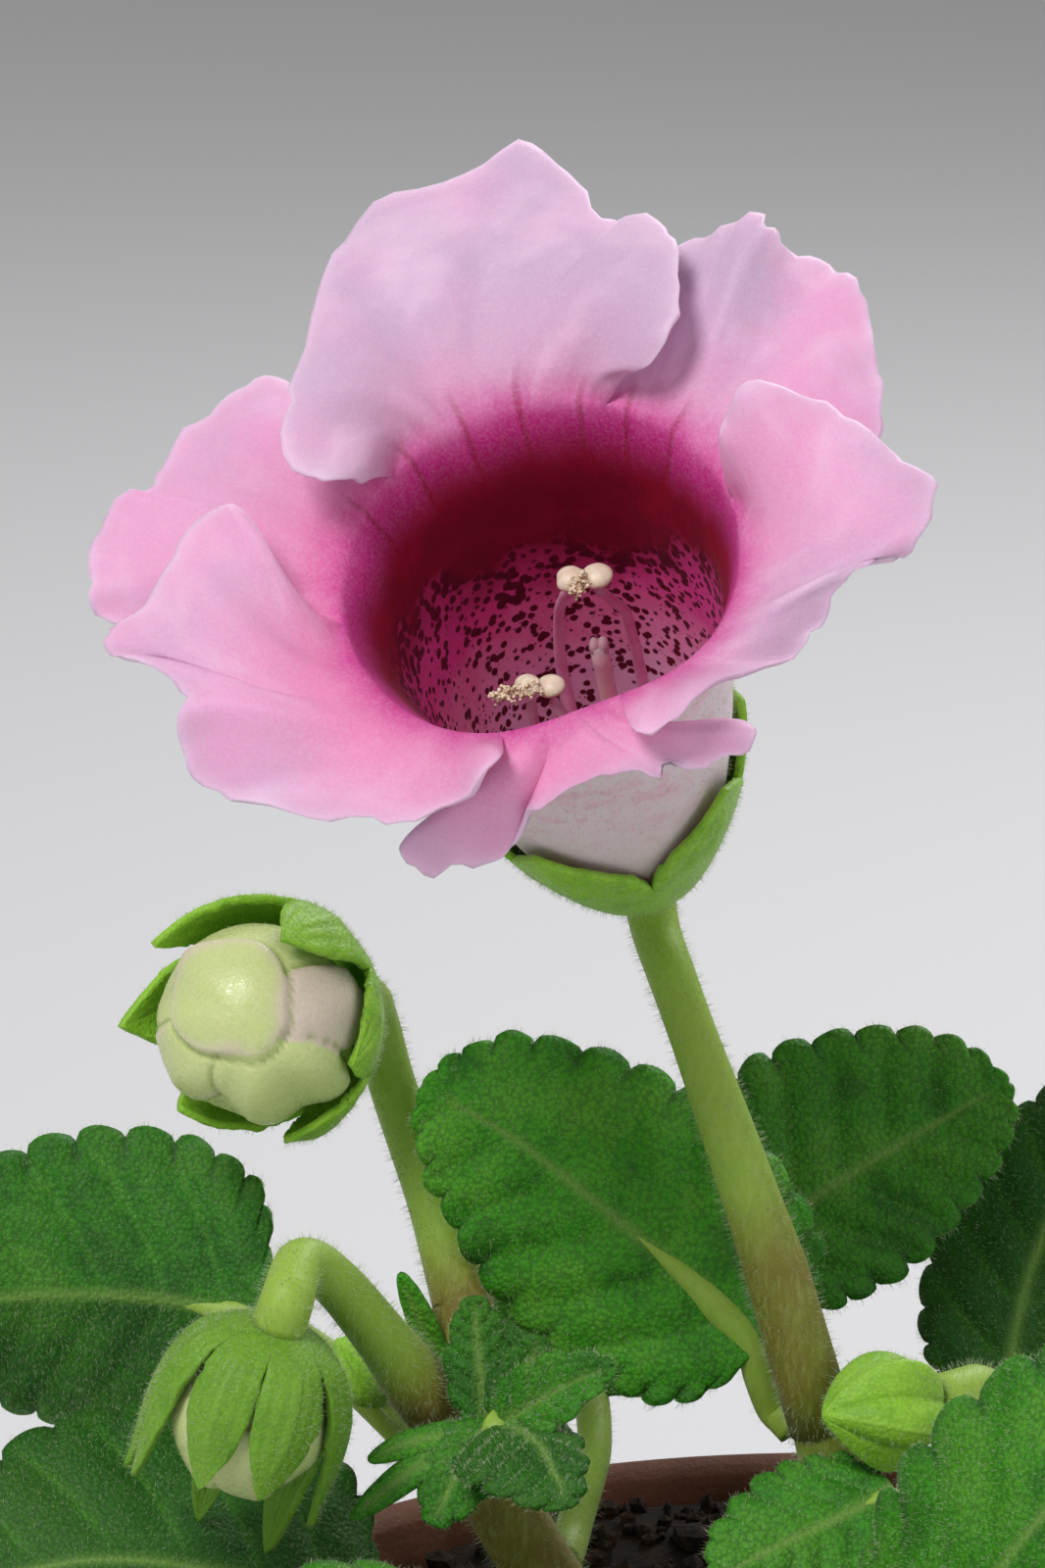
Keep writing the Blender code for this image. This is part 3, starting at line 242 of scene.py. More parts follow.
def model(name, patches, finishes, thickness=0):
    """A piece from patches whose shared edges are merged.

    With a thickness it is a sheet, whose other side and margin take the second finish where
    there are two. Without one the patches close a body, whose faces are turned outwards.
    """
    mesh = bmesh.new()
    for patch in patches:
        bmesh.ops.create_grid(mesh, x_segments=patch.columns, y_segments=patch.rows, size=0.5)
    data = from_bmesh(name, mesh)
    flat = np.clip(read(data.vertices, "co", 3).astype(float) + 0.5, 0, 1)
    points = np.zeros_like(flat)
    uv = np.zeros((len(flat), 2))
    extras = {}
    first = 0
    for patch in patches:
        part = slice(first, first + (patch.columns + 1) * (patch.rows + 1))
        first = part.stop
        made = patch.shape(flat[part, 0], flat[part, 1])
        points[part] = made.pop("points")
        uv[part] = made.pop("uv", 0)
        for key, values in made.items():
            extras.setdefault(key, np.zeros(len(flat), np.float32))[part] = values
    place_vertices(data, points)
    corners = read(data.loops, "vertex_index", 1, np.int32)[:, 0]
    layer = data.uv_layers.new(name="surface")
    layer.uv.foreach_set("vector", uv[corners].astype(np.float32).ravel())
    for key, values in extras.items():
        data.attributes.new(key, "FLOAT", "POINT").data.foreach_set("value", values)
    mesh = bmesh.new()
    mesh.from_mesh(data)
    bmesh.ops.remove_doubles(mesh, verts=mesh.verts, dist=0.002 * MM)
    bmesh.ops.dissolve_degenerate(mesh, edges=mesh.edges, dist=0.001 * MM)
    if not thickness:
        bmesh.ops.recalc_face_normals(mesh, faces=mesh.faces)
    mesh.to_mesh(data)
    mesh.free()
    data.shade_smooth()
    item = add_object(name, data)
    dress(item, *finishes)
    if thickness:
        wall = item.modifiers.new("Thickness", "SOLIDIFY")
        wall.thickness = thickness * MM
        wall.offset = 0
        wall.material_offset = wall.material_offset_rim = len(finishes) - 1
    return item


def transported(centres):
    """Two directions square to a path at each of its points, without sudden turns."""
    headings = unit(np.gradient(centres, axis=0))
    side = unit(np.cross(headings[0], (0.31, 0.17, -0.93)))
    sides = []
    for heading in headings:
        side = unit(side - side.dot(heading) * heading)
        sides.append(side)
    sides = np.array(sides)
    return sides, np.cross(headings, sides)


def tube(centres, radii, sides, **attributes):
    """A round tube along a path of points with flat closed ends."""
    across, upward = transported(centres)
    rows = np.concatenate(([0], np.arange(len(centres)), [len(centres) - 1]))
    widths = radii[rows]
    widths[[0, -1]] = 0
    steps = np.concatenate(([0], np.cumsum(np.linalg.norm(np.diff(centres, axis=0), axis=1))))

    def shape(around, along):
        place = np.rint(along * (len(rows) - 1)).astype(int)
        row, width = rows[place], widths[place]
        turn = math.tau * around
        return {"points": centres[row] + (width * np.cos(turn))[:, None] * across[row]
                + (width * np.sin(turn))[:, None] * upward[row],
                "uv": np.stack([around, steps[row] / DEPTH_UNIT], axis=-1),
                **{key: values[row] for key, values in attributes.items()}}

    return Patch(sides, len(rows) - 1, shape)


def stalk_path(points, radii, steps, fineness):
    """Centres and radii of a stalk with straight ends along a smooth curve."""
    start, *inner, end = np.array(points, float)
    share = np.linspace(0, 1, steps * fineness + 1)
    ends = np.linspace(0, 1, 4)[:-1, None]
    middle = Spine(inner).at(share)
    centres = np.concatenate((start + (middle[0] - start) * ends, middle,
                              end + (middle[-1] - end) * ends[::-1]))
    place = np.concatenate((ends[:, 0], 1 + share * steps, steps + 2 - ends[::-1, 0]))
    return centres, curve(np.array(radii, float)[:, None], place / (steps + 2))[:, 0]


def copies(name, mesh, count):
    """One mesh of many loose copies of a small shape, and the shape's own vertices."""
    item = add_object(name, from_bmesh(name, mesh))
    local = read(item.data.vertices, "co", 3).astype(float)
    repeat = item.modifiers.new("Copies", "ARRAY")
    repeat.use_relative_offset = False
    repeat.use_constant_offset = True
    repeat.constant_offset_displace = (0, 0, 0)
    repeat.count = count
    return settle(item), local


def crumb_copies(name, count):
    mesh = bmesh.new()
    bmesh.ops.create_icosphere(mesh, subdivisions=1, radius=1)
    return copies(name, mesh, count)


def spread(item, points, finish):
    """Put the vertices of loose copies in their places and dress them."""
    place_vertices(item.data, points)
    item.data.update()
    dress(item, finish)


def scatter(item, count, seed, weight, thickness):
    """Random places on a piece's mesh, evenly by area, with the normals there."""
    data = item.data
    data.calc_loop_triangles()
    corners = read(data.loop_triangles, "vertices", 3, np.int32)
    places = read(data.vertices, "co", 3).astype(float) / MM
    normals = read(data.vertices, "normal", 3).astype(float)
    first, second, third = (places[corners[:, corner]] for corner in range(3))
    share = np.linalg.norm(np.cross(second - first, third - first), axis=1)
    if weight is not None:
        share = share * np.clip(weight(places)[corners].mean(axis=1), 0, None)
    rng = np.random.default_rng(seed)
    total = np.cumsum(share)
    chosen = corners[np.searchsorted(total, rng.random(count) * total[-1])]
    mix = rng.random((count, 2))
    over = mix.sum(axis=1) > 1
    mix[over] = 1 - mix[over]
    parts = np.stack([1 - mix.sum(axis=1), mix[:, 0], mix[:, 1]], axis=-1)[..., None]
    facing = unit((normals[chosen] * parts).sum(axis=1))
    return (places[chosen] * parts).sum(axis=1) + facing * thickness * 0.5, facing


def tufts_on(item, count, seed, length, lean, thickness=0, side=1, weight=None):
    """Hairs that stand on one side of a piece: their roots, directions and lengths.

    Each leans a little its own way, and a weight thins them out in places.
    """
    count = int(count * settings().hair_share)
    roots, facing = scatter(item, count, seed, weight, thickness * side)
    rng = np.random.default_rng(seed + 1)
    ways = facing * side + rng.normal(size=facing.shape) * lean * 0.5
    return roots - facing * side * 0.04, ways, length * rng.uniform(0.6, 1.15, count)


def hairs(name, slot, tufts, width, seed):
    """Fine tapering hairs from tufts, without those that would leave the solids' box."""
    roots, ways, lengths = (np.concatenate(part) for part in zip(*tufts))
    low, high = (np.array(corner) / MM for corner in SOLID_BOX)
    tips = roots + unit(ways) * lengths[:, None]
    inside = ((tips > low + 0.02) & (tips < high - 0.02) & (roots > low + 0.1)
              & (roots < high - 0.1)).all(axis=1)
    roots, ways, lengths = roots[inside], unit(ways[inside]), lengths[inside]
    mesh = bmesh.new()
    bmesh.ops.create_cone(mesh, cap_ends=True, cap_tris=False, segments=3, radius1=1,
                          radius2=0, depth=1)
    bmesh.ops.remove_doubles(mesh, verts=mesh.verts, dist=0.01)
    item, local = copies(name, mesh, len(roots))
    rng = np.random.default_rng(seed)
    side = unit(np.cross(ways, rng.normal(size=ways.shape)))
    up = np.cross(ways, side)
    thick = (width * rng.uniform(0.7, 1.25, len(roots)))[:, None, None] * 0.5
    spread(item, roots[:, None] + side[:, None] * local[None, :, :1] * thick
           + up[:, None] * local[None, :, 1:2] * thick
           + ways[:, None] * (local[None, :, 2:] + 0.5) * lengths[:, None, None], "hair")
    item.data.shade_smooth()
    declare(item, slot)


# ---------------------------------------------------------------- shading

def srgb(red, green, blue):
    """A linear colour from the values from 0 to 255 that a screen shows."""
    return tuple(share / 12.92 if share <= 0.04045 else ((share + 0.055) / 1.055) ** 2.4
                 for share in (red / 255, green / 255, blue / 255))


def tinted(colour):
    """A socket as it is, or a colour by its name in the settings or from 0 to 255."""
    if isinstance(colour, Value):
        return colour
    if isinstance(colour, str):
        return (*getattr(bpy.context.scene.gloxinia_colours, colour), 1)
    return (*srgb(*colour), 1)


class Value:
    """A shader socket that takes part in Python arithmetic."""

    def __init__(self, finish, socket):
        self.finish = finish
        self.socket = socket

    def maths(self, operation, *values):
        return self.finish.node("ShaderNodeMath", {"operation": operation},
                                dict(enumerate(values)))

    def __add__(self, other):
        return self.maths("ADD", self, other)

    def __mul__(self, other):
        return self.maths("MULTIPLY", self, other)

    def __sub__(self, other):
        return self.maths("SUBTRACT", self, other)

    def __rsub__(self, other):
        return self.maths("SUBTRACT", other, self)

    def __abs__(self):
        return self.maths("ABSOLUTE", self)

    __radd__ = __add__
    __rmul__ = __mul__


class Finish:
    """A material whose nodes are written as Python expressions.

    It starts with a base colour, and layers of colour and of relief are laid over it.
    """

    def __init__(self, name, base):
        self.material = bpy.data.materials.new(name)
        self.material.use_nodes = True
        self.material.node_tree.nodes.clear()
        self.base = tinted(base)
        self.normal = None

    def node(self, kind, settings=None, inputs=None, output=0):
        """Add a node: its settings first, then the values or links of its sockets."""
        made = self.material.node_tree.nodes.new(kind)
        for key, value in (settings or {}).items():
            setattr(made, key, value)
        for key, value in (inputs or {}).items():
            if isinstance(value, Value):
                self.material.node_tree.links.new(value.socket, made.inputs[key])
            else:
                made.inputs[key].default_value = value
        return Value(self, made.outputs[output]) if made.outputs else None

    def position(self):
        return self.node("ShaderNodeTexCoord", output="Object")

    def stretched(self, *scale):
        """Position for a pattern that is drawn out along an axis."""
        return self.node("ShaderNodeMapping", None, {0: self.position(), 3: scale})

    def surface_map(self):
        """The piece's own UV map: the turn around an axis and the depth in millimetres."""
        uv = self.node("ShaderNodeUVMap", {"uv_map": "surface"})
        around, depth = (self.node("ShaderNodeSeparateXYZ", None, {0: uv}, axis)
                         for axis in range(2))
        return around, depth * DEPTH_UNIT

    def attribute(self, name):
        return self.node("ShaderNodeAttribute", {"attribute_name": name}, output="Fac")

    def noise(self, size, detail=2, roughness=0.5, vector=None):
        """Soft noise whose lumps are about a size in millimetres."""
        return self.node("ShaderNodeTexNoise", None,
                         {"Vector": vector or self.position(), "Scale": 1 / (size * MM),
                          "Detail": detail, "Roughness": roughness})

    def cells(self, size):
        """Cells about a size in millimetres: the distance from the middle of each."""
        return self.node("ShaderNodeTexVoronoi", None,
                         {"Vector": self.position(), "Scale": 1 / (size * MM)}, "Distance")

    def step(self, value, low, high):
        """A smooth step from 0 at low to 1 at high."""
        return self.node("ShaderNodeMapRange", {"interpolation_type": "SMOOTHSTEP"},
                         {0: value, 1: low, 2: high})

    def mix(self, factor, first, second):
        """The first colour where the factor is 0 and the second where it is 1."""
        return self.node("ShaderNodeMix", {"data_type": "RGBA"},
                         {0: factor, 6: tinted(first), 7: tinted(second)}, 2)

    def lay(self, factor, colour):
        """Lay a colour over the base as far as the factor says."""
        inputs = {0: factor, 6: self.base, 7: tinted(colour)}
        self.base = self.node("ShaderNodeMix", {"data_type": "RGBA"}, inputs, 2)

    def emboss(self, height, distance, strength):
        """Add relief from a height from 0 to 1, as deep as a distance in millimetres."""
        inputs = {"Strength": strength, "Distance": distance * MM, "Height": height}
        if self.normal:
            inputs["Normal"] = self.normal
        self.normal = self.node("ShaderNodeBump", None, inputs)

    def surface(self, roughness, specular=0.5, flesh=(), sheen=()):
        """End the material in one shader.

        Flesh is the weight, radius and scale of the light under a skin, and sheen the
        weight, roughness and tint of its velvet.
        """
        inputs = {"Base Color": self.base, "Roughness": roughness,
                  "Specular IOR Level": specular,
                  **dict(zip(("Subsurface Weight", "Subsurface Radius", "Subsurface Scale"),
                             flesh)),
                  **dict(zip(("Sheen Weight", "Sheen Roughness", "Sheen Tint"), sheen))}
        if self.normal:
            inputs["Normal"] = self.normal
        shader = self.node("ShaderNodeBsdfPrincipled", None, inputs)
        self.node("ShaderNodeOutputMaterial", None, {"Surface": shader})
        return self


# ---------------------------------------------------------------- what a user would change

def millimetres(name, description, default):
    return FloatProperty(name=name, description=description, unit="LENGTH", min=0,
                         precision=5, default=default * MM)


def colour(name, description, *default):
    return FloatVectorProperty(name=name, description=description, subtype="COLOR", size=3,
                               min=0, max=1, default=srgb(*default))


def power(name, description, default):
    return FloatProperty(name=name, description=description, subtype="POWER", min=0,
                         default=default)


class GloxiniaSizes(bpy.types.PropertyGroup):
    """Thicknesses, hair sizes and how much of each there is."""

    petal: millimetres("Petal", "Thickness of the open flower's petals", 0.6)
    sepal: millimetres("Sepal", "Thickness of a sepal", 0.75)
    blade: millimetres("Leaf blade", "Thickness of a leaf blade", 0.6)
    quilt: millimetres("Quilting", "How far a leaf bulges between its veins", 0.36)
    leaf_hair: millimetres("Leaf hair", "Length of the hairs on a leaf", 0.7)
    stalk_hair: millimetres("Stalk hair", "Length of the hairs on a stalk", 1.1)
    hair_width: millimetres("Hair width", "Width of a hair at its root", 0.042)
    hair_share: FloatProperty(name="Hairiness", default=1, min=0.05, max=1,
                              description="Share of the full number of hairs")
    crumbs: IntProperty(name="Soil crumbs", default=2600, min=10, max=6000,
                        description="Number of crumbs on the soil")


class GloxiniaColours(bpy.types.PropertyGroup):
    """The colours of the flower, the leaves and the pot."""

    petal: colour("Petal", "Pale lilac pink of the upper lobes", 206, 176, 206)
    blush: colour("Blush", "Warmer pink of the lower lobes", 238, 168, 210)
    # partly the lobes' own pale edge, partly painted glow of back light through the thin
    # margins
    margin: colour("Margin", "Pale margin of the lobes", 248, 214, 240)
    outside: colour("Outside", "Outside of the tube", 226, 206, 214)
    lip: colour("Lip", "Hot pink of the lobes near the throat", 240, 108, 172)
    halo: colour("Halo", "Magenta ring outside the throat", 204, 44, 144)
    throat: colour("Throat", "Burgundy band of the throat", 146, 4, 42)
    ground: colour("Spotted ground", "Ground between the upper spots", 230, 78, 166)
    lilac: colour("Lilac ground", "Ground between the deep spots", 246, 196, 224)
    leaf: colour("Leaf", "Middle green of the leaves", 62, 154, 20)
    # lighter patches and veins of the leaves, and also their painted highlight on the bulges
    leaf_light_and_highlight: colour("Leaf, light", "Lighter patches of the leaves", 92, 168, 40)
    # darker patches of the leaves, and also the colour of their painted shade
    leaf_dark_and_shade: colour("Leaf, dark", "Darker patches of the leaves", 10, 62, 6)
    vein: colour("Vein", "Pale green of the midribs", 120, 158, 70)
    stalk: colour("Stalk", "Yellow green of the stalks", 150, 184, 68)
    stalk_base: colour("Stalk base", "Brown foot of the stalks", 116, 80, 40)
    sepal: colour("Sepal", "Bright green of the sepals", 142, 196, 48)
    bud: colour("Bud", "Pale green of the folded petals", 204, 216, 144)
    bud_blush: colour("Bud blush", "Pinkish white zones of the folded petals", 218, 202, 186)
    pollen: colour("Pollen", "Crumbs of pollen", 250, 234, 208)
    clay: colour("Clay", "Fired clay of the pot", 98, 56, 38)
    soil: colour("Soil", "Damp potting soil", 22, 13, 8)
    hair: colour("Hair", "Fine hairs", 202, 218, 172)
    floor: colour("Floor", "Plain floor", 222, 222, 224)


class GloxiniaStage(bpy.types.PropertyGroup):
    """The floor and the lights."""

    floor: FloatProperty(name="Floor", description="Width of the floor", unit="LENGTH",
                         default=30, min=1)
    key: power("Key light", "Power of the soft key light", 15.5)
    fill: power("Fill light", "Power of the soft fill light", 2.6)
    rim: power("Back light", "Power of the light behind the plant", 8)
    sky: FloatProperty(name="Sky", description="Strength of the even light all round",
                       default=0.3, min=0)


def settings():
    return bpy.context.scene.gloxinia_sizes


def length(name):
    """A length from the settings in millimetres."""
    return getattr(settings(), name) / MM


# ---------------------------------------------------------------- finishes

STREAKS = (48, 64, 79, 96, 113, 131, 152)       # angles of the throat's dark streaks


def petal_finish():
    """Petals from inside: pale lobes, a magenta halo, a burgundy band and a spotted throat."""
    made = Finish("petal_inside", "petal")
    around, depth = made.surface_map()
    wander = made.noise(5, 3, 0.6)
    rays = made.noise(1000, 3, 0.6, made.node("ShaderNodeCombineXYZ", None,
                                              {0: around * 34, 1: depth * 0.09}))
    upper = made.step(abs(around - 0.27), 0.2, 0.06)
    lower = made.step(abs(around - 0.6), 0.28, 0.12)
    made.lay(made.step(made.noise(14, 1) + (wander - 0.5) * 0.25 - upper * 0.2
                       + lower * 0.06, 0.22, 0.74), "blush")
    made.lay(made.step(rays, 0.46, 0.74) * 0.45, "margin")
    shifted = depth + (wander - 0.5) * 3 + (rays - 0.5) * 3
    made.lay(made.step(shifted, 14, 0) * (0.2 + lower * 0.4), "lip")
    # the pale margin band: partly the lobes' own pale edge, partly painted glow of back light
    # through the thin margins
    made.lay(made.attribute("margin") * 0.8, "margin")
    made.lay(made.step(shifted, 3.4, -3), "halo")
    lines = 0
    for angle in STREAKS:
        away = abs(around + (wander - 0.5) * 0.008 - angle / 360)
        lines = made.step(away, 0.0042, 0.0008) + lines
    made.lay(lines * made.step(depth, 3.6, -2) * made.step(depth, -18, -8) * 0.5, "throat")
    band = made.step(shifted, -1, -8)
    made.lay(band, "throat")
    made.lay(band * made.step(wander, 0.3, 0.7) * 0.4, (84, 0, 14))
    opening = made.step(depth + (made.noise(7) - 0.5) * 9 + upper * 7, -8, -18)
    ground = made.mix(made.step(depth + (wander - 0.5) * 12, -19, -36), "ground", "lilac")
    ground = made.mix(opening, "throat", ground)
    reach = 0.36 + (made.noise(3.2) - 0.46) * 0.8 + (1 - opening) * 0.22
    fine = made.noise(1.1, 3, 0.6) - 0.5
    spots = made.step(made.cells(1) + fine * 0.5 - reach, 0.06, -0.06)
    small = (made.step(made.cells(0.62) + fine * 0.3, 0.26, 0.12)
             * made.step(made.noise(4), 0.42, 0.56))
    spots = made.node("ShaderNodeMath", {"operation": "MAXIMUM"}, {0: spots, 1: small})
    made.lay(made.step(opening, 0.02, 0.3), made.mix(spots, ground, (98, 0, 36)))
    # painted glints: fine pale speckles stand for the sparkle of the petals' cells; the
    # burgundy band is kept free of them
    grain = made.noise(0.32, 2, 0.7)
    smooth = made.base
    made.lay((grain - 0.42) * 0.4, (255, 240, 250))
    made.lay(band, smooth)
    made.emboss(made.noise(2.6, 3), 0.35, 0.3)
    made.emboss(rays, 0.5, 0.35)
    made.emboss(grain, 0.09, 0.5)
    return made.surface(0.42 + 0.2 * grain, 0.22, (0.3, (1, 0.45, 0.7), 0.0012), (0.03, 0.4))


def petal_outside_finish():
    """Petals from outside: whitish pink and downy, with blotches near the mouth."""
    made = Finish("petal_outside", "outside")
    depth = made.surface_map()[1]
    made.lay(made.step(depth, -2, 7), "petal")
    blotch = made.step(made.noise(4, 3, 0.6) * 0.7 + made.noise(1.3) * 0.5, 0.52, 0.86)
    made.lay(blotch * made.step(depth, -34, -20) * made.step(depth, 3, -5) * 0.6,
             (224, 132, 168))
    made.lay(made.step(depth, -34, -50), (232, 224, 190))
    # the pale margin band: partly the lobes' own pale edge, partly painted glow of back light
    # through the thin margins
    made.lay(made.attribute("margin") * 0.6, "margin")
    # painted glints: fine pale speckles stand for the sparkle of the downy outside
    grain = made.noise(0.4, 2, 0.7)
    made.lay((grain - 0.42) * 0.4, (255, 246, 250))
    made.emboss(grain, 0.1, 0.6)
    return made.surface(0.55, 0.35, (0.35, (1, 0.55, 0.7), 0.0016), (0.4, 0.4))


def leaf_finish(name="leaf_upper", under=False):
    """A velvety quilted leaf with a pale midrib and soft patches."""
    made = Finish(name, "leaf")
    wide = made.noise(9, 2, 0.6)
    lumps = (made.noise(2.2, 2, 0.6) - 0.5) * 0.4
    pebbles = made.cells(0.48)
    fine = made.noise(0.26, 2, 0.7)
    made.lay(made.step(wide + lumps, 0.42, 0.7), "leaf_light_and_highlight")
    made.lay(made.step(wide - lumps, 0.5, 0.3) * 0.5, "leaf_dark_and_shade")
    # painted highlight: the tops of the bulges between the veins lightened as if lit
    made.lay(made.attribute("bulge") * 0.22, "leaf_light_and_highlight")
    # painted shade: the whole blade darkened for a leaf that lies in shade
    made.lay(made.attribute("painted_shade"), "leaf_dark_and_shade")
    made.lay(made.attribute("vein") * 0.3, "leaf_light_and_highlight")
    # painted shade in the hollows between the pebbles that the relief raises
    made.lay(made.step(pebbles, 0.3, 0.75) * 0.4, "leaf_dark_and_shade")
    # painted shade in the creases between the margin's teeth
    made.lay(made.attribute("crease") * 0.75, "leaf_dark_and_shade")
    made.lay(made.attribute("rib") * 0.75, "vein")
    if under:
        made.lay(0.45, (150, 184, 116))
    # painted glints: fine pale speckles stand for light caught on the hairs
    made.lay((fine - 0.45) * 0.25, (150, 200, 100))
    made.emboss(1 - pebbles, 0.22, 0.7)
    made.emboss(fine, 0.08, 0.5)
    return made.surface(0.6, 0.3, (0.1, (0.5, 1, 0.3), 0.001),
                        (0.07, 0.35, (0.8, 1, 0.75, 1)))


def stalk_finish():
    """Soft stalks: yellow green above, olive and then brown towards the foot."""
    made = Finish("stalk_skin", "stalk")
    age = made.attribute("age") + (made.noise(6) - 0.5) * 0.3
    made.lay(made.step(age, 0.2, 0.9), (132, 134, 46))
    made.lay(made.step(age, 0.6, 1.25), "stalk_base")
    fibre = made.noise(0.5, 3, 0.6, made.stretched(1, 1, 0.25))
    made.lay(made.step(fibre, 0.4, 0.75) * 0.25, (190, 208, 120))
    made.emboss(fibre, 0.12, 0.5)
    return made.surface(0.5, 0.35, (0.2, (0.6, 1, 0.3), 0.0015), (0.1, 0.4))


def sepal_finish():
    """Bright green sepals, a little darker towards the stalk and paler on their keels."""
    made = Finish("sepal_skin", "sepal")
    patch = made.noise(3, 3, 0.6)
    cells = made.cells(0.42)
    made.lay(made.step(patch, 0.35, 0.7), (152, 204, 62))
    made.lay(made.step(patch, 0.5, 0.3) * 0.35, (96, 152, 34))
    made.lay(made.attribute("keel") * 0.4, (164, 208, 84))
    # painted shade in the hollows between the cells that the relief raises
    made.lay(made.step(cells, 0.3, 0.7) * 0.2, (84, 140, 30))
    # painted shade: a whole calyx darkened where it hangs in shade, as the second bud's does
    made.lay(made.attribute("shade"), (66, 112, 26))
    made.emboss(1 - cells, 0.12, 0.7)
    return made.surface(0.5, 0.35, (0.2, (0.6, 1, 0.25), 0.0015), (0.08, 0.4))


def bud_finish():
    """Folded petals of a bud: waxy pale green, pinkish white on the folds."""
    made = Finish("bud_skin", "bud")
    made.lay(made.step(made.attribute("rosy") + (made.noise(6) - 0.5) * 0.5, 0.35, 0.9),
             "bud_blush")
    # painted shade: a darker green along the seams where one fold lies on the next
    made.lay(made.attribute("seam") * 0.6, (150, 168, 78))
    # painted glints: fine pale speckles on the waxy folds
    made.lay((made.noise(0.28, 2, 0.7) - 0.45) * 0.5, (250, 250, 232))
    sparkle = made.step(made.noise(0.45), 0.5, 0.66)
    made.emboss(made.noise(0.5, 3, 0.6), 0.12, 0.7)
    return made.surface(0.4 - 0.22 * sparkle, flesh=(0.45, (1, 0.9, 0.6), 0.002))


def clay_finish():
    """Fired clay: reddish brown with pale dry patches, damp stains and fine pits."""
    made = Finish("fired_clay", "clay")
    patch = made.noise(12, 4, 0.65)
    rings = made.noise(7, 3, 0.6, made.stretched(0.15, 0.15, 3))
    pits = made.noise(0.6, 3, 0.7)
    made.lay(made.step(patch, 0.35, 0.85) * 0.7, (136, 90, 68))
    made.lay(made.step(patch, 0.42, 0.26) * 0.8, (92, 50, 38))
    made.lay(made.step(rings, 0.45, 0.75) * 0.3, (126, 78, 58))
    made.lay(made.step(pits, 0.55, 0.72) * 0.5, (78, 42, 32))
    made.emboss(rings, 0.4, 0.5)
    made.emboss(pits, 0.25, 0.7)
    return made.surface(0.8 - 0.15 * patch, 0.3)


def soil_finish(name, pale):
    """Damp crumbs of peat with a few paler fibres."""
    made = Finish(name, "soil")
    made.lay(made.step(made.noise(2.5, 4, 0.7), 0.4, 0.7), pale)
    made.lay(made.step(made.noise(5), 0.56, 0.7) * 0.6, (22, 14, 10))
    made.emboss(made.noise(0.9, 4, 0.7), 0.6, 0.8)
    return made.surface(0.9, 0.2)


def plain_finish(name, first, second, size, bump, roughness, specular=0.5, flesh=()):
    """A finish that drifts between two colours in soft patches, with a fine grain."""
    made = Finish(name, first)
    made.lay(made.step(made.noise(size, 3, 0.6), 0.35, 0.65), second)
    made.emboss(made.noise(size * 0.3, 2, 0.7), bump, 0.8)
    return made.surface(roughness, specular, flesh)


MAKERS = {
    "petal": petal_finish,
    "petal_outside": petal_outside_finish,
    "leaf": leaf_finish,
    "leaf_under": lambda: leaf_finish("leaf_under", True),
    "stalk": stalk_finish,
    "sepal": sepal_finish,
    "bud": bud_finish,
    "clay": clay_finish,
    "soil": lambda: soil_finish("soil_bed", (46, 30, 20)),
    "crumb": lambda: soil_finish("soil_crumb", (62, 42, 28)),
    "hair": lambda: Finish("plant_hair", "hair").surface(0.4, 0.6),
    "floor": lambda: Finish("plain_floor", "floor").surface(0.8, 0.1),
    "tuber": lambda: plain_finish("tuber_cork", (92, 70, 50), (58, 40, 28), 2.5, 0.6, 0.85,
                                  0.2),
    "filament": lambda: plain_finish("filament_skin", (236, 156, 198), (244, 184, 212), 3,
                                     0.1, 0.4, flesh=(0.4, (1, 0.5, 0.6), 0.001)),
    "pistil": lambda: plain_finish("pistil_skin", (240, 196, 204), (246, 214, 210), 3, 0.1,
                                   0.35, flesh=(0.4, (1, 0.6, 0.6), 0.001)),
    "anther": lambda: plain_finish("anther_sac", (240, 224, 198), (228, 204, 184), 1, 0.06,
                                   0.4, flesh=(0.5, (1, 0.7, 0.6), 0.001)),
    "pollen": lambda: plain_finish("pollen_crumb", "pollen", (232, 206, 168), 0.4, 0.05, 0.8),
}


@cache
def finish_for(name):
    """The finish of that name, made the first time it is asked for."""
    return MAKERS[name]()


# ---------------------------------------------------------------- pot, soil and tuber

POT_WALL = [(0, 0.02), (44, 0.02), (45.4, 0.5), (46, 1.6), (54.6, 48), (63.4, 95.2),
            (64, 96), (67.8, 96)]
POT_LIP = [(68.4, 96.1), (69.2, 106), (69.95, 117), (69.2, 119.1), (67.3, 119.9),
           (65.2, 119.1), (64.2, 116.8), (61.4, 106)]
POT_INSIDE = [(58.5, 94), (49.5, 50), (41, 10), (40.2, 8.2), (38, 7.1), (0, 7)]
DRAINS = 4
DRAIN_RING = 24
DRAIN_RADIUS = 4.5
SOIL_TOP = 107
SOIL_RADIUS = 57.5
TUBER_CENTRE = (-7, 2)
TUBER_RADIUS = 24
TUBER_TOP = 108


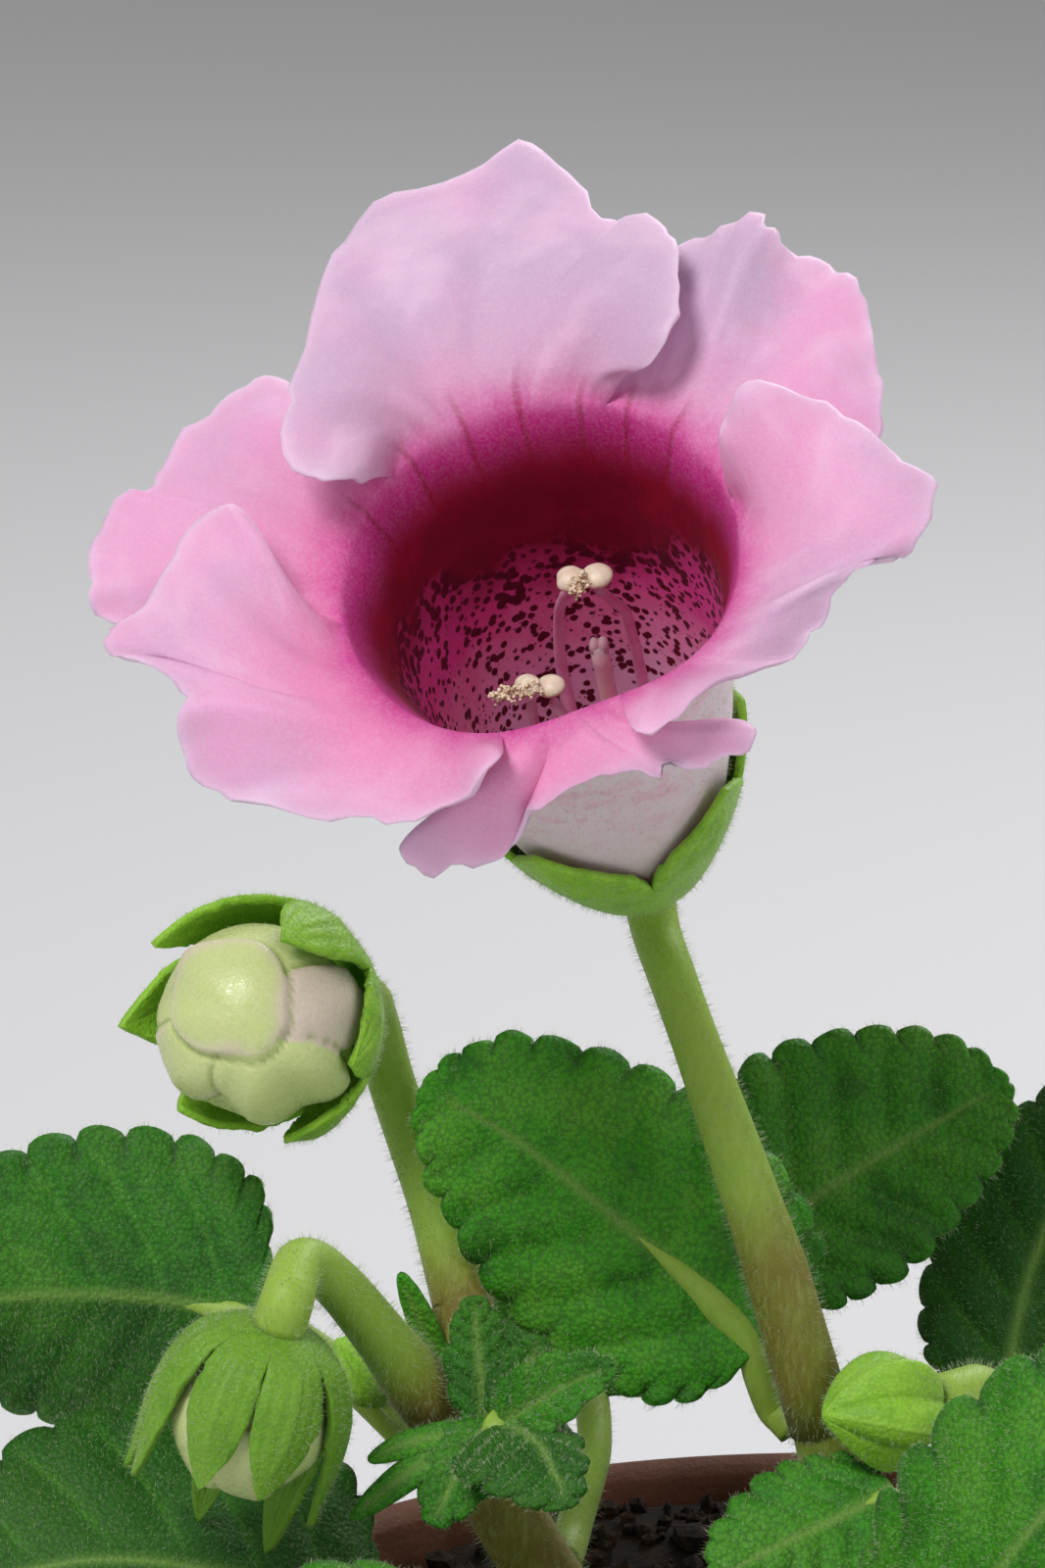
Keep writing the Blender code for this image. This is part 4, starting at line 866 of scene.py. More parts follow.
def build_pot():
    """The turned pot with its collar, rounded lip and drain holes."""
    mesh = bmesh.new()
    corners = [mesh.verts.new((radius * MM, 0, height * MM)) for radius, height in
               (*POT_WALL, *curve(POT_LIP, np.linspace(0, 1, 43)), *POT_INSIDE)]
    edges = [mesh.edges.new(pair) for pair in zip(corners, corners[1:])]
    bmesh.ops.spin(mesh, geom=corners + edges, cent=(0, 0, 0), axis=(0, 0, 1),
                   angle=math.tau, steps=128, use_merge=True)
    bmesh.ops.remove_doubles(mesh, verts=mesh.verts, dist=0.01 * MM)
    bmesh.ops.recalc_face_normals(mesh, faces=mesh.faces)
    pot = add_object("clay_pot", from_bmesh("clay_pot", mesh))
    dress(pot, "clay")
    mesh = bmesh.new()
    for number in range(DRAINS):
        turn = math.tau * (number + 0.5) / DRAINS
        made = bmesh.ops.create_cone(mesh, cap_ends=True, segments=32, depth=0.02,
                                     radius1=DRAIN_RADIUS * MM, radius2=DRAIN_RADIUS * MM)
        bmesh.ops.translate(mesh, verts=made["verts"],
                            vec=(DRAIN_RING * MM * math.cos(turn),
                                 DRAIN_RING * MM * math.sin(turn), 0.004))
    drains = add_object("drains", from_bmesh("drains", mesh))
    hole = pot.modifiers.new("Drain holes", "BOOLEAN")
    hole.operation = "DIFFERENCE"
    hole.object = drains
    settle(pot)
    bpy.data.objects.remove(drains)
    pot.data.shade_smooth()
    pot.data.set_sharp_from_angle(angle=math.radians(40))
    declare(pot, "clay", "pot")


def build_soil():
    """The bed of soil with crumbs of many sizes pressed into its top."""
    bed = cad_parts["soil"]
    dress(bed, "soil")
    top = BVHTree.FromObject(bed, bpy.context.evaluated_depsgraph_get())
    count = settings().crumbs
    item, local = crumb_copies("soil_crumbs", count)
    rng = np.random.default_rng(11)
    turn = rng.random(count) * math.tau
    reach = (SOIL_RADIUS + 3 * ease(np.sin(turn), 0.4, 0.8)) * np.sqrt(rng.random(count))
    size = np.clip(rng.lognormal(-0.1, 0.5, count), 0.35, 2.6)
    roots = np.stack([reach * np.cos(turn), reach * np.sin(turn), np.zeros(count)], axis=-1)
    for root, radius in zip(roots, size):
        hit = top.ray_cast(Vector((*(root[:2] * MM), 0.13)), Vector((0, 0, -1)))[0]
        root[2] = (hit.z / MM if hit else SOIL_TOP) + 0.25 * radius
        away = math.hypot(root[0] - TUBER_CENTRE[0], root[1] - TUBER_CENTRE[1])
        if away < TUBER_RADIUS:
            root[2] = TUBER_TOP + 0.2 * radius - 0.6 * ease(away, 19, TUBER_RADIUS)
    stretch = rng.uniform(0.6, 1.25, (count, 1, 3)) * size[:, None, None]
    jitter = rng.uniform(0.72, 1.2, (count, len(local), 1))
    spread(item, roots[:, None] + local[None] * jitter * stretch, "crumb")
    declare(item, "soil")


# ---------------------------------------------------------------- open flower

FLOWER_AXIS = unit(np.array((-0.190, -0.677, 0.711)))
TUBE_LENGTH = 52
FLOWER = Place(np.array((-19.7, 6, 199.4)) + TUBE_LENGTH * FLOWER_AXIS, FLOWER_AXIS,
               (1, 0, 0))
CLEFT_RADIUS = 18.5
CLEFT_HEIGHT = -1
TUBE_PROFILE = [(-51.5, 0), (-51.2, 2.2), (-49.6, 4.6), (-45, 7.2), (-38, 10.1), (-26, 12.9),
                (-11, 15.2), (-5, 16.9), (CLEFT_HEIGHT, CLEFT_RADIUS)]

# The angles of the clefts between the lobes. Each lobe then has the angle at which it leaves
# the tube, how far its margin turns down, and its margin from cleft to cleft as points of
# (across, along, height) in the flower's place.
CLEFTS = (19, 71, 138, 191, 258, 297, 379)
LOBES = [
    (24, 0.3, [
        (20.4, 7.8, -2), (23.4, 9, -3.2), (27.6, 10.6, -4), (31.2, 12.2, -3), (31.5, 16.8, -1),
        (31.2, 22, 0), (29.8, 26.8, 0), (27.2, 29.8, 0), (23.6, 30.6, 2), (22.4, 33.2, 3.4),
        (20.2, 33.9, 3), (17, 33.5, 1.6), (12.9, 34, 0), (10.2, 31, -1.4), (8.6, 25.8, -2),
        (7.4, 21.2, -2)]),
    (34, 0.3, [
        (8.4, 18.6, 2.2), (11.2, 17.2, 4.8), (13.8, 19, 6.6), (15, 24.1, 7), (14.3, 28.8, 6),
        (12.6, 32.6, 5), (9.4, 35.3, 4), (7.6, 34.9, 3.4), (5, 39.6, 2.4), (1.7, 44.6, 1),
        (-1.6, 46.8, 1), (-6.8, 42, 3.6), (-13.8, 40, 4), (-18.4, 34.4, 4), (-20.2, 27.4, 4.4),
        (-21.4, 20.2, 6), (-22.6, 13.8, 8), (-21.2, 8, 8), (-18.2, 6, 7.2), (-15.8, 7.6, 5),
        (-14.6, 10.2, 2)]),
    (22, 0.3, [
        (-15.6, 15.2, -2), (-17.4, 18.2, -2.4), (-20.6, 21.6, -2.4), (-24.2, 25, -2),
        (-27.8, 24.4, -1), (-31.4, 20.6, 0), (-35, 15.6, 0), (-36.8, 12.2, 1), (-39.2, 11.9, 1),
        (-40.7, 8.4, 1), (-41.6, 3.9, 0.8), (-41.2, 0.6, 0), (-37.8, -1.4, -2),
        (-31.4, -2.8, -3), (-25.4, -3.8, -3), (-21.2, -3.8, -2)]),
    (18, 0.4, [
        (-21.4, -2.8, 1.6), (-24, 1.2, 4.6), (-25.6, 4.4, 6.4), (-27.8, 5.8, 7), (-31.2, 4, 6),
        (-33.2, 0.2, 5.4), (-35.2, -2.8, 4), (-38.8, -3.6, 3), (-39.4, -5.6, 2.2),
        (-36.2, -7.6, 3), (-32.8, -10.4, 3), (-31.8, -13, 2.8), (-32.8, -15, 1.2),
        (-32.4, -17.2, -0.6), (-29.8, -19.4, -2), (-25.2, -21.7, -2), (-19.6, -23.8, -2),
        (-14.4, -25, -2.4), (-10.2, -24.6, -1.8), (-6.8, -24, 0.2), (-4.4, -23.8, 2.2),
        (-3, -22, 2.6), (-3.2, -20, 1)]),
    (0, 1.4, [
        (-5.6, -20.6, -3), (-9, -22.4, -5.4), (-12.6, -22.8, -7.2), (-14.2, -23.8, -8.6),
        (-12.4, -24.9, -9.8), (-9.4, -24.8, -10.4), (-6, -24.2, -10.2), (-3.4, -23.4, -8.2),
        (-1.2, -23.2, -5), (1.8, -22.6, -2.8), (5, -21.8, -2), (8.2, -21.4, -2.6),
        (11.2, -21.2, -4.2), (13.8, -20.4, -5.2), (16.4, -18.6, -5.8), (18.6, -16.8, -6.4),
        (17.8, -15.4, -6.2), (14.8, -16.6, -5), (11.2, -17.4, -2.8)]),
    (20, 0.4, [
        (8.6, -18.6, 1), (9.6, -20.8, 2.2), (12, -20.2, 2.2), (14.2, -17.6, 1.8),
        (16.6, -14.8, 0.6), (20, -12.6, -1.4), (23.6, -11, -2), (25.8, -9, -0.6), (27.2, -7, 1),
        (29.6, -5.6, 2), (32.4, -4.4, 2.2), (35.2, -3, 1.8), (36.9, 0.2, 3), (35.9, 3.2, 4),
        (32.6, 5.6, 5), (28.9, 9, 6), (25.6, 10.6, 7.2), (21.8, 11.6, 8), (19.2, 10.6, 7.6),
        (17.8, 8.8, 5.6), (17.4, 7.4, 2.4)]),
]
LOBE_COLUMNS = 72
LOBE_ROWS = 30
TUBE_ROWS = 30

# Where the near part of the mouth is drawn in and raised a little
LIP_ANGLE = 287
LIP_SPREAD = 32
LIP_NARROWING = 2.2
LIP_RISE = 0.8


def near_lip(angle):
    """Share of the narrowing at an angle of the mouth: one at the near lip's middle."""
    return hump((angle - LIP_ANGLE + 180) % 360 - 180, LIP_SPREAD)


def mouth_point(angle):
    """Points of the tube's mouth."""
    turn = np.radians(angle)
    radius = CLEFT_RADIUS - LIP_NARROWING * near_lip(angle)
    return np.stack([radius * np.cos(turn), radius * np.sin(turn),
                     CLEFT_HEIGHT + LIP_RISE * near_lip(angle)], axis=-1)


def lobe_patch(number):
    """One lobe, from its root on the mouth to its ruffled margin."""
    first, last = CLEFTS[number:number + 2]
    rise, droop, margin = LOBES[number]
    ends = mouth_point(np.array([first, last], float))
    margin = np.concatenate((ends[:1], np.array(margin, float), ends[1:]))
    rise = math.radians(rise)

    def shape(around, out):
        angle = blend(first, last, around)
        turn = np.radians(angle)
        root = mouth_point(angle)
        edge = curve(margin, around)
        reach = np.linalg.norm(edge - root, axis=-1)
        leaving = np.stack([np.cos(turn) * math.cos(rise), np.sin(turn) * math.cos(rise),
                            np.full_like(turn, math.sin(rise))], axis=-1)
        level = edge - root
        level[:, 2] = 0
        level = np.where(np.linalg.norm(level, axis=-1, keepdims=True) > 0.001, unit(level),
                         leaving)
        arriving = unit(level - np.array((0, 0, droop)))
        size = reach[:, None]
        bend_in = root + leaving * size * 0.36
        bend_out = edge - arriving * size * 0.3
        part = out[:, None]
        stay = 1 - part
        points = (root * stay ** 3 + bend_in * 3 * stay ** 2 * part
                  + bend_out * 3 * stay * part ** 2 + edge * part ** 3)
        loose = ease(reach, 2, 11)
        ruffle = 0.5 - 0.5 * ripple(around, 40 + number, 5, 9)
        notch = np.clip(ripple(around, 60 + number, 3, 5) - 0.6, 0, 1)
        pull = loose * out ** 7 * (0.95 * ruffle + 2.2 * notch)
        points -= arriving * pull[:, None]
        pleat = ripple(around, 80 + number, 4, 2.4) * np.sin(math.pi * out ** 0.8) * 0.5
        wave = ripple(around, 90 + number, 3, 4.5) * out ** 3 * 0.6
        frill = ripple(around, 110 + number, 3, 8) * ease(out, 0.6, 1) ** 2 * 0.6
        points[:, 2] += loose * (pleat + frill + wave * (1 - out ** 12 * 0.5))
        return {"points": FLOWER.at(*points.T),
                "uv": np.stack([angle / 360, (CLEFT_HEIGHT + reach * out) / DEPTH_UNIT],
                               axis=-1),
                # margin: the band along the edge that the finishes paint pale, partly as
                # painted back light
                "margin": np.exp(-reach * (1 - out) / 0.9) * loose}

    return Patch(LOBE_COLUMNS, LOBE_ROWS, shape)


def tube_patch():
    """The tube from its closed bottom up to the mouth, faintly fluted below the clefts."""
    clefts = np.array(CLEFTS, float)

    def shape(around, along):
        place = np.minimum(around * len(LOBES), len(LOBES) - 1e-9)
        number = place.astype(int)
        angle = blend(clefts[number], clefts[number + 1], place - number)
        angle = np.where(around > 1 - 1e-6, clefts[-1], angle)
        height, radius = curve(TUBE_PROFILE, along).T
        flute = 0.22 * np.cos(math.tau * (place - number)) * ease(height, -42, -12)
        flute *= 1 - ease(along, 0.9, 1)
        drawn = near_lip(angle) * ease(height, -10, CLEFT_HEIGHT)
        return {"points": FLOWER.polar(angle, radius + flute * (radius > 4)
                                       - LIP_NARROWING * drawn, height + LIP_RISE * drawn),
                "uv": np.stack([angle / 360, height / DEPTH_UNIT], axis=-1)}

    return Patch(LOBE_COLUMNS * len(LOBES), TUBE_ROWS, shape)


def build_corolla():
    """The closed tube and its six overlapping lobes in one sheet, with a downy outside."""
    item = model("open_flower", [tube_patch(), *map(lobe_patch, range(len(LOBES)))],
                 ["petal_outside", "petal"], length("petal"))
    declare(item, "petal", "corolla")

    def downy(places):
        """More down on the outside of the tube and under the lobes' roots."""
        height = (places - FLOWER.origin) @ FLOWER.axis
        return ease(height, -46, -30) * (1 - 0.85 * ease(height, -6, 2))

    down = tufts_on(item, 7000, 21, 0.6, 0.5, length("petal"), weight=downy)
    hairs("flower_down", "petal", [down], 0.04, 5)


FILAMENTS = [
    [(-2.3, 2.2, -46.9), (-3.4, 5, -39), (-3.3, 7.9, -29), (-2, 8.1, -20.5), (-0.5, 7, -15.4),
     (0.7, 5.9, -12.8)],
    [(2.3, 2.2, -46.9), (3.8, 4.6, -40), (4, 7.6, -29), (4.4, 7.6, -20), (3, 5.75, -12.85)],
    [(-2.3, -2.2, -46.9), (-3.8, -4.6, -38), (-4.4, -7.2, -26), (-2.75, -7.5, -10.95)],
    [(2.3, -2.2, -46.9), (3.2, -5.2, -38), (2.2, -7.6, -26), (-0.65, -7.5, -10.85)],
]
STYLE = [(0, 0, -49.4), (0, 0.3, -46), (0.4, 2, -40), (1, 4.8, -30), (1.3, 6, -22.6)]

# Each pair of anthers: its name, node and middle, its two sacs as (across, along, height,
# size), and the line from its middle along which its pollen has spilt.
ANTHERS = [
    ("upper_pair", "anthers_upper", (2, 6.2, -11.5),
     [(-1.25, -0.1, 0, 1.5), (1.25, -0.15, 0.1, 1.5)], ((0, -0.6, 0.9), (-0.7, -2.1, 0.8))),
    ("lower_pair", "anthers_lower", (-1.7, -7, -9.5),
     [(-1.1, 0.3, 0.5, 1.35), (1.05, 0.15, 0.3, 1.35)], ((0, -0.2, 1), (-4.2, -0.7, 0.8))),
]
POLLEN_CRUMBS = 150


def egg(centre, radii, seed, crease):
    """A closed egg-round patch in the flower's place, creased down one side."""
    def shape(around, along):
        turn = math.tau * around
        lean = math.pi * along
        press = 1 - crease * hump(around - 0.5, 0.08)
        rough = 1 + 0.03 * ripple(around, seed, 3, 2) * np.sin(lean)
        reach = np.sin(lean) * press * rough
        return {"points": FLOWER.at(*centre)
                + (radii[0] * reach * np.cos(turn))[:, None] * FLOWER.side
                + (radii[1] * reach * np.sin(turn))[:, None] * FLOWER.up
                - (radii[2] * np.cos(lean))[:, None] * FLOWER.axis}

    return Patch(28, 18, shape)


def build_stamens():
    """Four filaments that rise from one ring at the bottom of the tube."""
    ring = FLOWER.polar(np.linspace(0, 360, 41), 3.3, -47.15)
    patches = [tube(ring, np.full(41, 0.5), 12)]
    patches += [tube(*stalk_path(FLOWER.path(points), [0.75, 0.56, 0.5], 6, 8), 16)
                for points in FILAMENTS]
    declare(model("filaments", patches, ["filament"]), "filament", "stamens")


def build_anthers(name, node, centre, sacs, spill):
    """A pair of anthers: creased pollen sacs with crumbs of pollen where they have opened."""
    centre = np.array(centre, float)
    patches = [egg(centre + place, (size, size * 0.9, size * 0.52), number, 0.16)
               for number, (*place, size) in enumerate(sacs)]
    declare(model(name, patches, ["anther"]), "anther", node)
    rng = np.random.default_rng(len(name))
    crumbs, local = crumb_copies(name + "_pollen", POLLEN_CRUMBS)
    way = rng.random(POLLEN_CRUMBS)[:, None]
    start, end = np.array(spill, float)
    places = centre + (start + (end - start) * way
                       + rng.normal(size=(POLLEN_CRUMBS, 3)) * (0.42 - 0.16 * way))
    size = (rng.uniform(0.1, 0.24, (POLLEN_CRUMBS, 1, 1))
            * rng.uniform(0.8, 1.2, (POLLEN_CRUMBS, len(local), 1)))
    spread(crumbs, FLOWER.at(*places.T)[:, None] + local[None] * size, "pollen")
    crumbs.data.shade_smooth()
    declare(crumbs, "anther")


def build_pistil():
    """The ovary, its style and the two-lobed stigma."""
    centres, radii = stalk_path(FLOWER.path(STYLE), [2.2, 2.2, 1.15, 0.85, 0.85], 7, 7)
    patches = [tube(centres, radii, 24)]
    patches += [egg((1.3 + aside, 6.1, -22.9), (0.54, 0.85, 0.95), 3, 0.1)
                for aside in (-0.42, 0.42)]
    declare(model("style_and_stigma", patches, ["pistil"]), "pistil", "pistil")


# ---------------------------------------------------------------- calyxes and buds

# A calyx's outline is (height, radius) from its foot upwards. Its sepals are (angle, angle of
# the tip, share of the outline at the tip, flare of the tip in millimetres).
FLOWER_MERIDIAN = [(-52.6, 0), (-52.3, 2.4), (-50.5, 5.7), (-46.6, 8), (-40.6, 10.5),
                   (-35, 12.3), (-30, 13.9), (-25.5, 15)]
FLOWER_SEPALS = [(15, 15, 0.84, 0), (78, 78, 0.84, 0), (138, 138, 0.84, 0),
                 (198, 198, 0.8, 0), (252, 247, 0.93, 0), (322, 326, 0.93, 0)]
BUD_1 = Place((-56.4, 3, 185.2), (-0.72, -0.69, 0.05), (0.69, -0.72, 0))
BUD_1_MERIDIAN = [(-11.4, 0), (-11.2, 3.2), (-9.2, 7.6), (-5, 10.7), (0, 11.6), (4, 11.6),
                  (8, 11.8)]
BUD_1_SEPALS = [(5, -12, 0.6, 0.2), (65, 56, 0.78, -0.2), (120, 148, 0.86, -0.3),
                (180, 190, 0.94, 0), (238, 236, 0.82, -0.2), (304, 296, 0.68, 0.2)]
BUD_2 = Place((-56.6, -18, 152.6), (-0.30, 0.12, -0.95), (1, 0, -0.32))
BUD_2_MERIDIAN = [(-9.5, 0), (-9.2, 3), (-7.2, 6.2), (-3.2, 8.2), (1.6, 8.7), (6.6, 8.7),
                  (11.6, 8.9), (16.4, 9.4)]
BUD_2_SEPALS = [(5, 0, 0.79, 0), (62, 72, 0.64, 0), (122, 108, 0.66, 0), (168, 160, 0.75, 0.4),
                (204, 182, 0.78, 0.6), (255, 265, 1, 0), (312, 312, 1, 0)]
BUD_3 = Place((8.6, -6, 150), (-0.86, -0.5, 0.06), (0, 0, 1))
BUD_4 = Place((-43.2, 4.6, 146.8), (-0.66, -0.1, 0.74), (0, 1, 0))

# Directions across, up and towards the viewer, who looks from a little above.
VIEW_TILT = math.radians(14)
LEVEL = np.array((1.0, 0.0, 0.0))
RISING = np.array((0, math.sin(VIEW_TILT), math.cos(VIEW_TILT)))
NEARER = np.array((0, -math.cos(VIEW_TILT), math.sin(VIEW_TILT)))

# The folded petals of a bud are (across, up, half width, half height, level, rosiness) in
# shares of its radius, with the nearest fold last. Its outline is (angle, share).
BUD_1_FOLDS = [(-0.60, -0.42, 0.46, 0.46, 0.25, 0.35), (0.64, 0.10, 0.44, 0.46, 0.45, 1),
               (0.26, -0.56, 0.66, 0.44, 0.62, 0), (-0.22, 0.24, 0.60, 0.62, 1, 0.4)]
BUD_1_OUTLINE = [(0, 1), (12, 1.03), (35, 0.96), (90, 0.9), (120, 0.88), (137, 0.95),
                 (158, 0.86), (178, 0.98), (205, 0.93), (226, 0.98), (244, 0.9), (256, 0.86),
                 (274, 1.04), (292, 0.93), (306, 0.88), (320, 1.06), (340, 1), (360, 1)]
BUD_2_FOLDS = [(-0.45, -0.1, 0.5, 0.9, 0.4, 0.1), (0.5, -0.15, 0.5, 0.8, 0.6, 0),
               (0.02, -0.55, 0.46, 0.5, 1, 0.15)]
BUD_2_OUTLINE = [(0, 0.97), (60, 0.95), (120, 0.95), (180, 0.98), (215, 0.9), (240, 0.97),
                 (262, 0.88), (282, 0.96), (305, 0.88), (330, 0.98), (360, 0.97)]


def build_calyx(name, node, place, meridian, sepals, cup, width, count, seed, swell=0.3,
               shade=0):
    """A small cup whose rim grows out into pointed sepals with a keel and downy edges.

    The cup takes a share of the outline. A sepal narrows to its width above the cup, and
    swells again towards its middle.
    """
    middles = [sepal[0] for sepal in sepals]
    borders = [0.5 * (before + middle)
               for before, middle in zip([middles[-1] - 360, *middles], middles)]
    borders = np.array(borders + [borders[0] + 360])

    def cup_shape(around, along):
        where = np.minimum(around * len(sepals), len(sepals) - 1e-9)
        number = where.astype(int)
        angle = blend(borders[number], borders[number + 1], where - number)
        angle = np.where(around > 1 - 1e-6, borders[-1], angle)
        height, radius = curve(meridian, along * cup).T
        return {"points": place.polar(angle, radius, height), "shade": shade}

    def sepal_patch(number):
        _, tip, reach, flare = sepals[number]
        first, last = borders[number:number + 2]

        def shape(across, along):
            aside = 2 * across - 1
            height, radius = curve(meridian, blend(cup, reach, along)).T
            half = (0.5 * (last - first) * blend(1, width, ease(along, 0, 0.22))
                    * (1 - along ** 1.7) * (1 + swell * along))
            centre = blend(0.5 * (first + last), tip, along ** 1.3)
            grown = ease(along, 0, 0.2)
            relief = grown * ease(along, 1, 0.55)
            keel = 0.62 * (1 - np.abs(aside) ** 0.8) * relief + flare * along ** 2
            veins = 0.07 * np.cos(math.tau * 2.5 * aside) * relief
            edge = 0.3 * np.abs(aside) ** 8 * ripple(along, seed + number, 4, 3) * relief
            return {"points": place.polar(centre + aside * half, radius + keel + veins + edge,
                                          height),
                    "keel": hump(aside, 0.1) * grown, "shade": shade}

        return Patch(20, 28, shape)

    patches = [Patch(20 * len(sepals), 10, cup_shape),
               *map(sepal_patch, range(len(sepals)))]
    item = model(name, patches, ["sepal"], length("sepal"))
    declare(item, "sepal", node)
    return tufts_on(item, count, seed, 0.75, 0.6, length("sepal"))


def build_bud(name, node, place, radius, depth_radius, folds, outline, depth):
    """A bud of folded petals: each fold lies on its neighbours and ends in a seam."""
    angles, sizes = np.array(outline, float).T

    def shape(around, along):
        turn = math.tau * around
        lean = math.pi * along
        flat = np.sin(lean) ** 0.9
        way = ((flat * np.cos(turn))[:, None] * place.side
               + (flat * np.sin(turn))[:, None] * place.up
               - np.cos(lean)[:, None] * place.axis * depth_radius / radius)
        size = np.linalg.norm(way, axis=-1)
        face = way / size[:, None]
        across, up, near = face @ LEVEL, face @ RISING, face @ NEARER
        front = ease(near, -0.35, 0.15)
        flat_size = np.hypot(across, up)
        angle = np.degrees(np.arctan2(up, across)) % 360
        swell = np.interp(angle, angles, sizes)
        for shift in (-7, 7):
            swell = 0.5 * (swell + np.interp((angle + shift) % 360, angles, sizes))
        level, rosy, seam = np.zeros((3, len(angle)))
        for number, (x, y, wide, high, lift, pink) in enumerate(folds):
            bent = 0.13 * ripple(angle / 360, 30 + number, 2, 2)
            inside = (1 + bent - np.abs((across - x) / wide) ** 2.4
                      - np.abs((up - y) / high) ** 2.4)
            cover = ease(inside, 0, 0.26)
            dome = lift + 0.35 * np.clip(inside, 0, 1) ** 0.7
            edge = hump(inside + 0.05, 0.07)
            level = blend(level - 0.25 * edge, dome, cover)
            seam = np.maximum(seam * (1 - cover), edge)
            rosy = blend(rosy, pink + 0.5 * (1 - np.clip(inside * 1.6, 0, 1)), cover)
        reach = radius * (0.92 + front * depth * level)
        reach *= 1 + (swell - 0.97) * 1.2 * flat_size ** 2 * front
        # seam marks where the finish paints shade along the edge of each fold
        return {"points": place.origin + face * (reach * size)[:, None],
                "rosy": rosy * front, "seam": seam * front}

    item = model(name, [Patch(104, 80, shape)], ["bud"])
    declare(item, "bud_petal", node)
    return tufts_on(item, 900, 44, 0.4, 0.5)


def build_green_bud(name, node, place, radius, height, seed):
    """A young bud closed in its calyx, with a sharp keel and folds on each sepal."""
    keels = 5

    def shape(around, along):
        share = (around * keels) % 1
        ridge = (1 - np.abs(2 * share - 1)) ** 1.4
        crease = hump(np.minimum(share, 1 - share), 0.06)
        body = radius * np.sin(math.pi * along ** 0.8) ** 0.75
        fold = 0.04 * ripple(around, seed, 3, 5) * np.sin(math.pi * along)
        reach = body * (0.86 + 0.2 * ridge - 0.05 * crease + fold)
        return {"points": place.polar(360 * around + 25 * along, reach, height * along),
                "keel": hump(share - 0.5, 0.07)}

    item = model(name, [Patch(keels * 26, 60, shape)], ["sepal"])
    declare(item, "young_bud", node)
    return tufts_on(item, 220 * radius, seed, 0.7, 0.5)


def build_buds():
    """Two opening buds in their calyxes and two young green buds, with their down."""
    down = [build_calyx("flower_calyx", "calyx", FLOWER, FLOWER_MERIDIAN, FLOWER_SEPALS, 0.6,
                        0.97, 3200, 101),
            build_calyx("first_bud_calyx", "bud_1_calyx", BUD_1, BUD_1_MERIDIAN,
                        BUD_1_SEPALS, 0.42, 0.86, 4200, 102),
            # the second bud's calyx takes painted shade
            build_calyx("second_bud_calyx", "bud_2_calyx", BUD_2, BUD_2_MERIDIAN,
                        BUD_2_SEPALS, 0.2, 0.84, 4200, 103, 0.75, 0.5),
            build_bud("first_bud", "bud_1_petals", BUD_1, 10.3, 9.8, BUD_1_FOLDS,
                      BUD_1_OUTLINE, 0.1),
            build_bud("second_bud", "bud_2_petals", BUD_2, 7.8, 8.1, BUD_2_FOLDS,
                      BUD_2_OUTLINE, 0.08),
            build_green_bud("third_bud", "bud_3", BUD_3, 5.6, 13.2, 104),
            build_green_bud("fourth_bud", "bud_4", BUD_4, 3.2, 8.6, 105)]
    hairs("bud_down", "sepal", down, length("hair_width"), 8)


# ---------------------------------------------------------------- shoots and their stalks

SHOOT_RADIUS = 3.5
SHOOT_RIGHT = [(3, 2, 108.6), (3, 2, 113), (2.4, 1.6, 120), (1, 0, 134), (-2, -2.4, 146),
               (-2.6, -3, 149)]
SHOOT_LEFT = [(-17, 2, 108.6), (-17.4, 2, 112), (-22.6, 2.2, 120), (-30.6, 2.4, 132.5),
              (-37, 2, 145), (-38.2, 1.6, 148)]
FLOWER_STALK = [(-2.4, -2.6, 146.4), (-7.1, -3.4, 162.8), (-12.3, -2.2, 177.7),
                (-16.4, 2.2, 188.4), (-18.2, 6.6, 192.6), (-18.8, 8.6, 195.2)]
BUD_1_STALK = [(-37, 2.2, 145.4), (-36.7, 5.6, 156), (-39.9, 9.4, 166), (-43.4, 12.6, 175.5),
               (-45, 14.4, 181)]
BUD_2_STALK = [(-37.6, 1.6, 146.4), (-39.9, -1.2, 148.6), (-44.3, -6, 156.4),
               (-48.6, -10.6, 163.4), (-51.6, -14.2, 166.4)]
BUD_3_STALK = [(2, 1, 126), (9.4, 3.4, 137), (13.2, 0.6, 147.2), (12.2, -3.2, 150.2)]
BUD_4_STALK = [(-37.2, 2.2, 144.4), (-38.8, 3.4, 144), (-40.4, 4.2, 144.2)]
STALK_SINK = 0.5            # how far a stalk runs into the foot of its calyx
PETIOLE_GAP = 0.35          # how far a petiole starts from its shoot's bark


def stalk_end(place, bottom):
    """The last two points of a stalk that meets a calyx square on its axis."""
    return [tuple(place.at(0, 0, bottom + rise)) for rise in (-2.6, STALK_SINK)]


def seat(shoot, height, towards, radius):
    """Where a petiole starts, square and close to its shoot's bark."""
    spine = Spine(shoot, 60)
    amount = 0.5
    for _ in range(20):
        amount = min(max(amount + (height - spine.at(amount)[2]) / spine.length, 0), 1)
    middle = spine.at(amount)
    outward = unit(np.array(towards, float) - middle)
    lean = abs(outward.dot(spine.heading(amount)))
    start = middle + outward * (PETIOLE_GAP
                                + (SHOOT_RADIUS + radius * lean) / math.sqrt(1 - lean ** 2))
    return [tuple(start), tuple(start + outward * 1.6)]


def grown(points, radii, steps, old, young, sides=22):
    """A stalk whose skin goes from one age at its foot to another at its end."""
    centres, widths = stalk_path(points, radii, steps, 6)
    share = np.linspace(0, 1, len(centres))
    return tube(centres, widths, sides, age=blend(old, young, ease(share, 0, 0.42)))


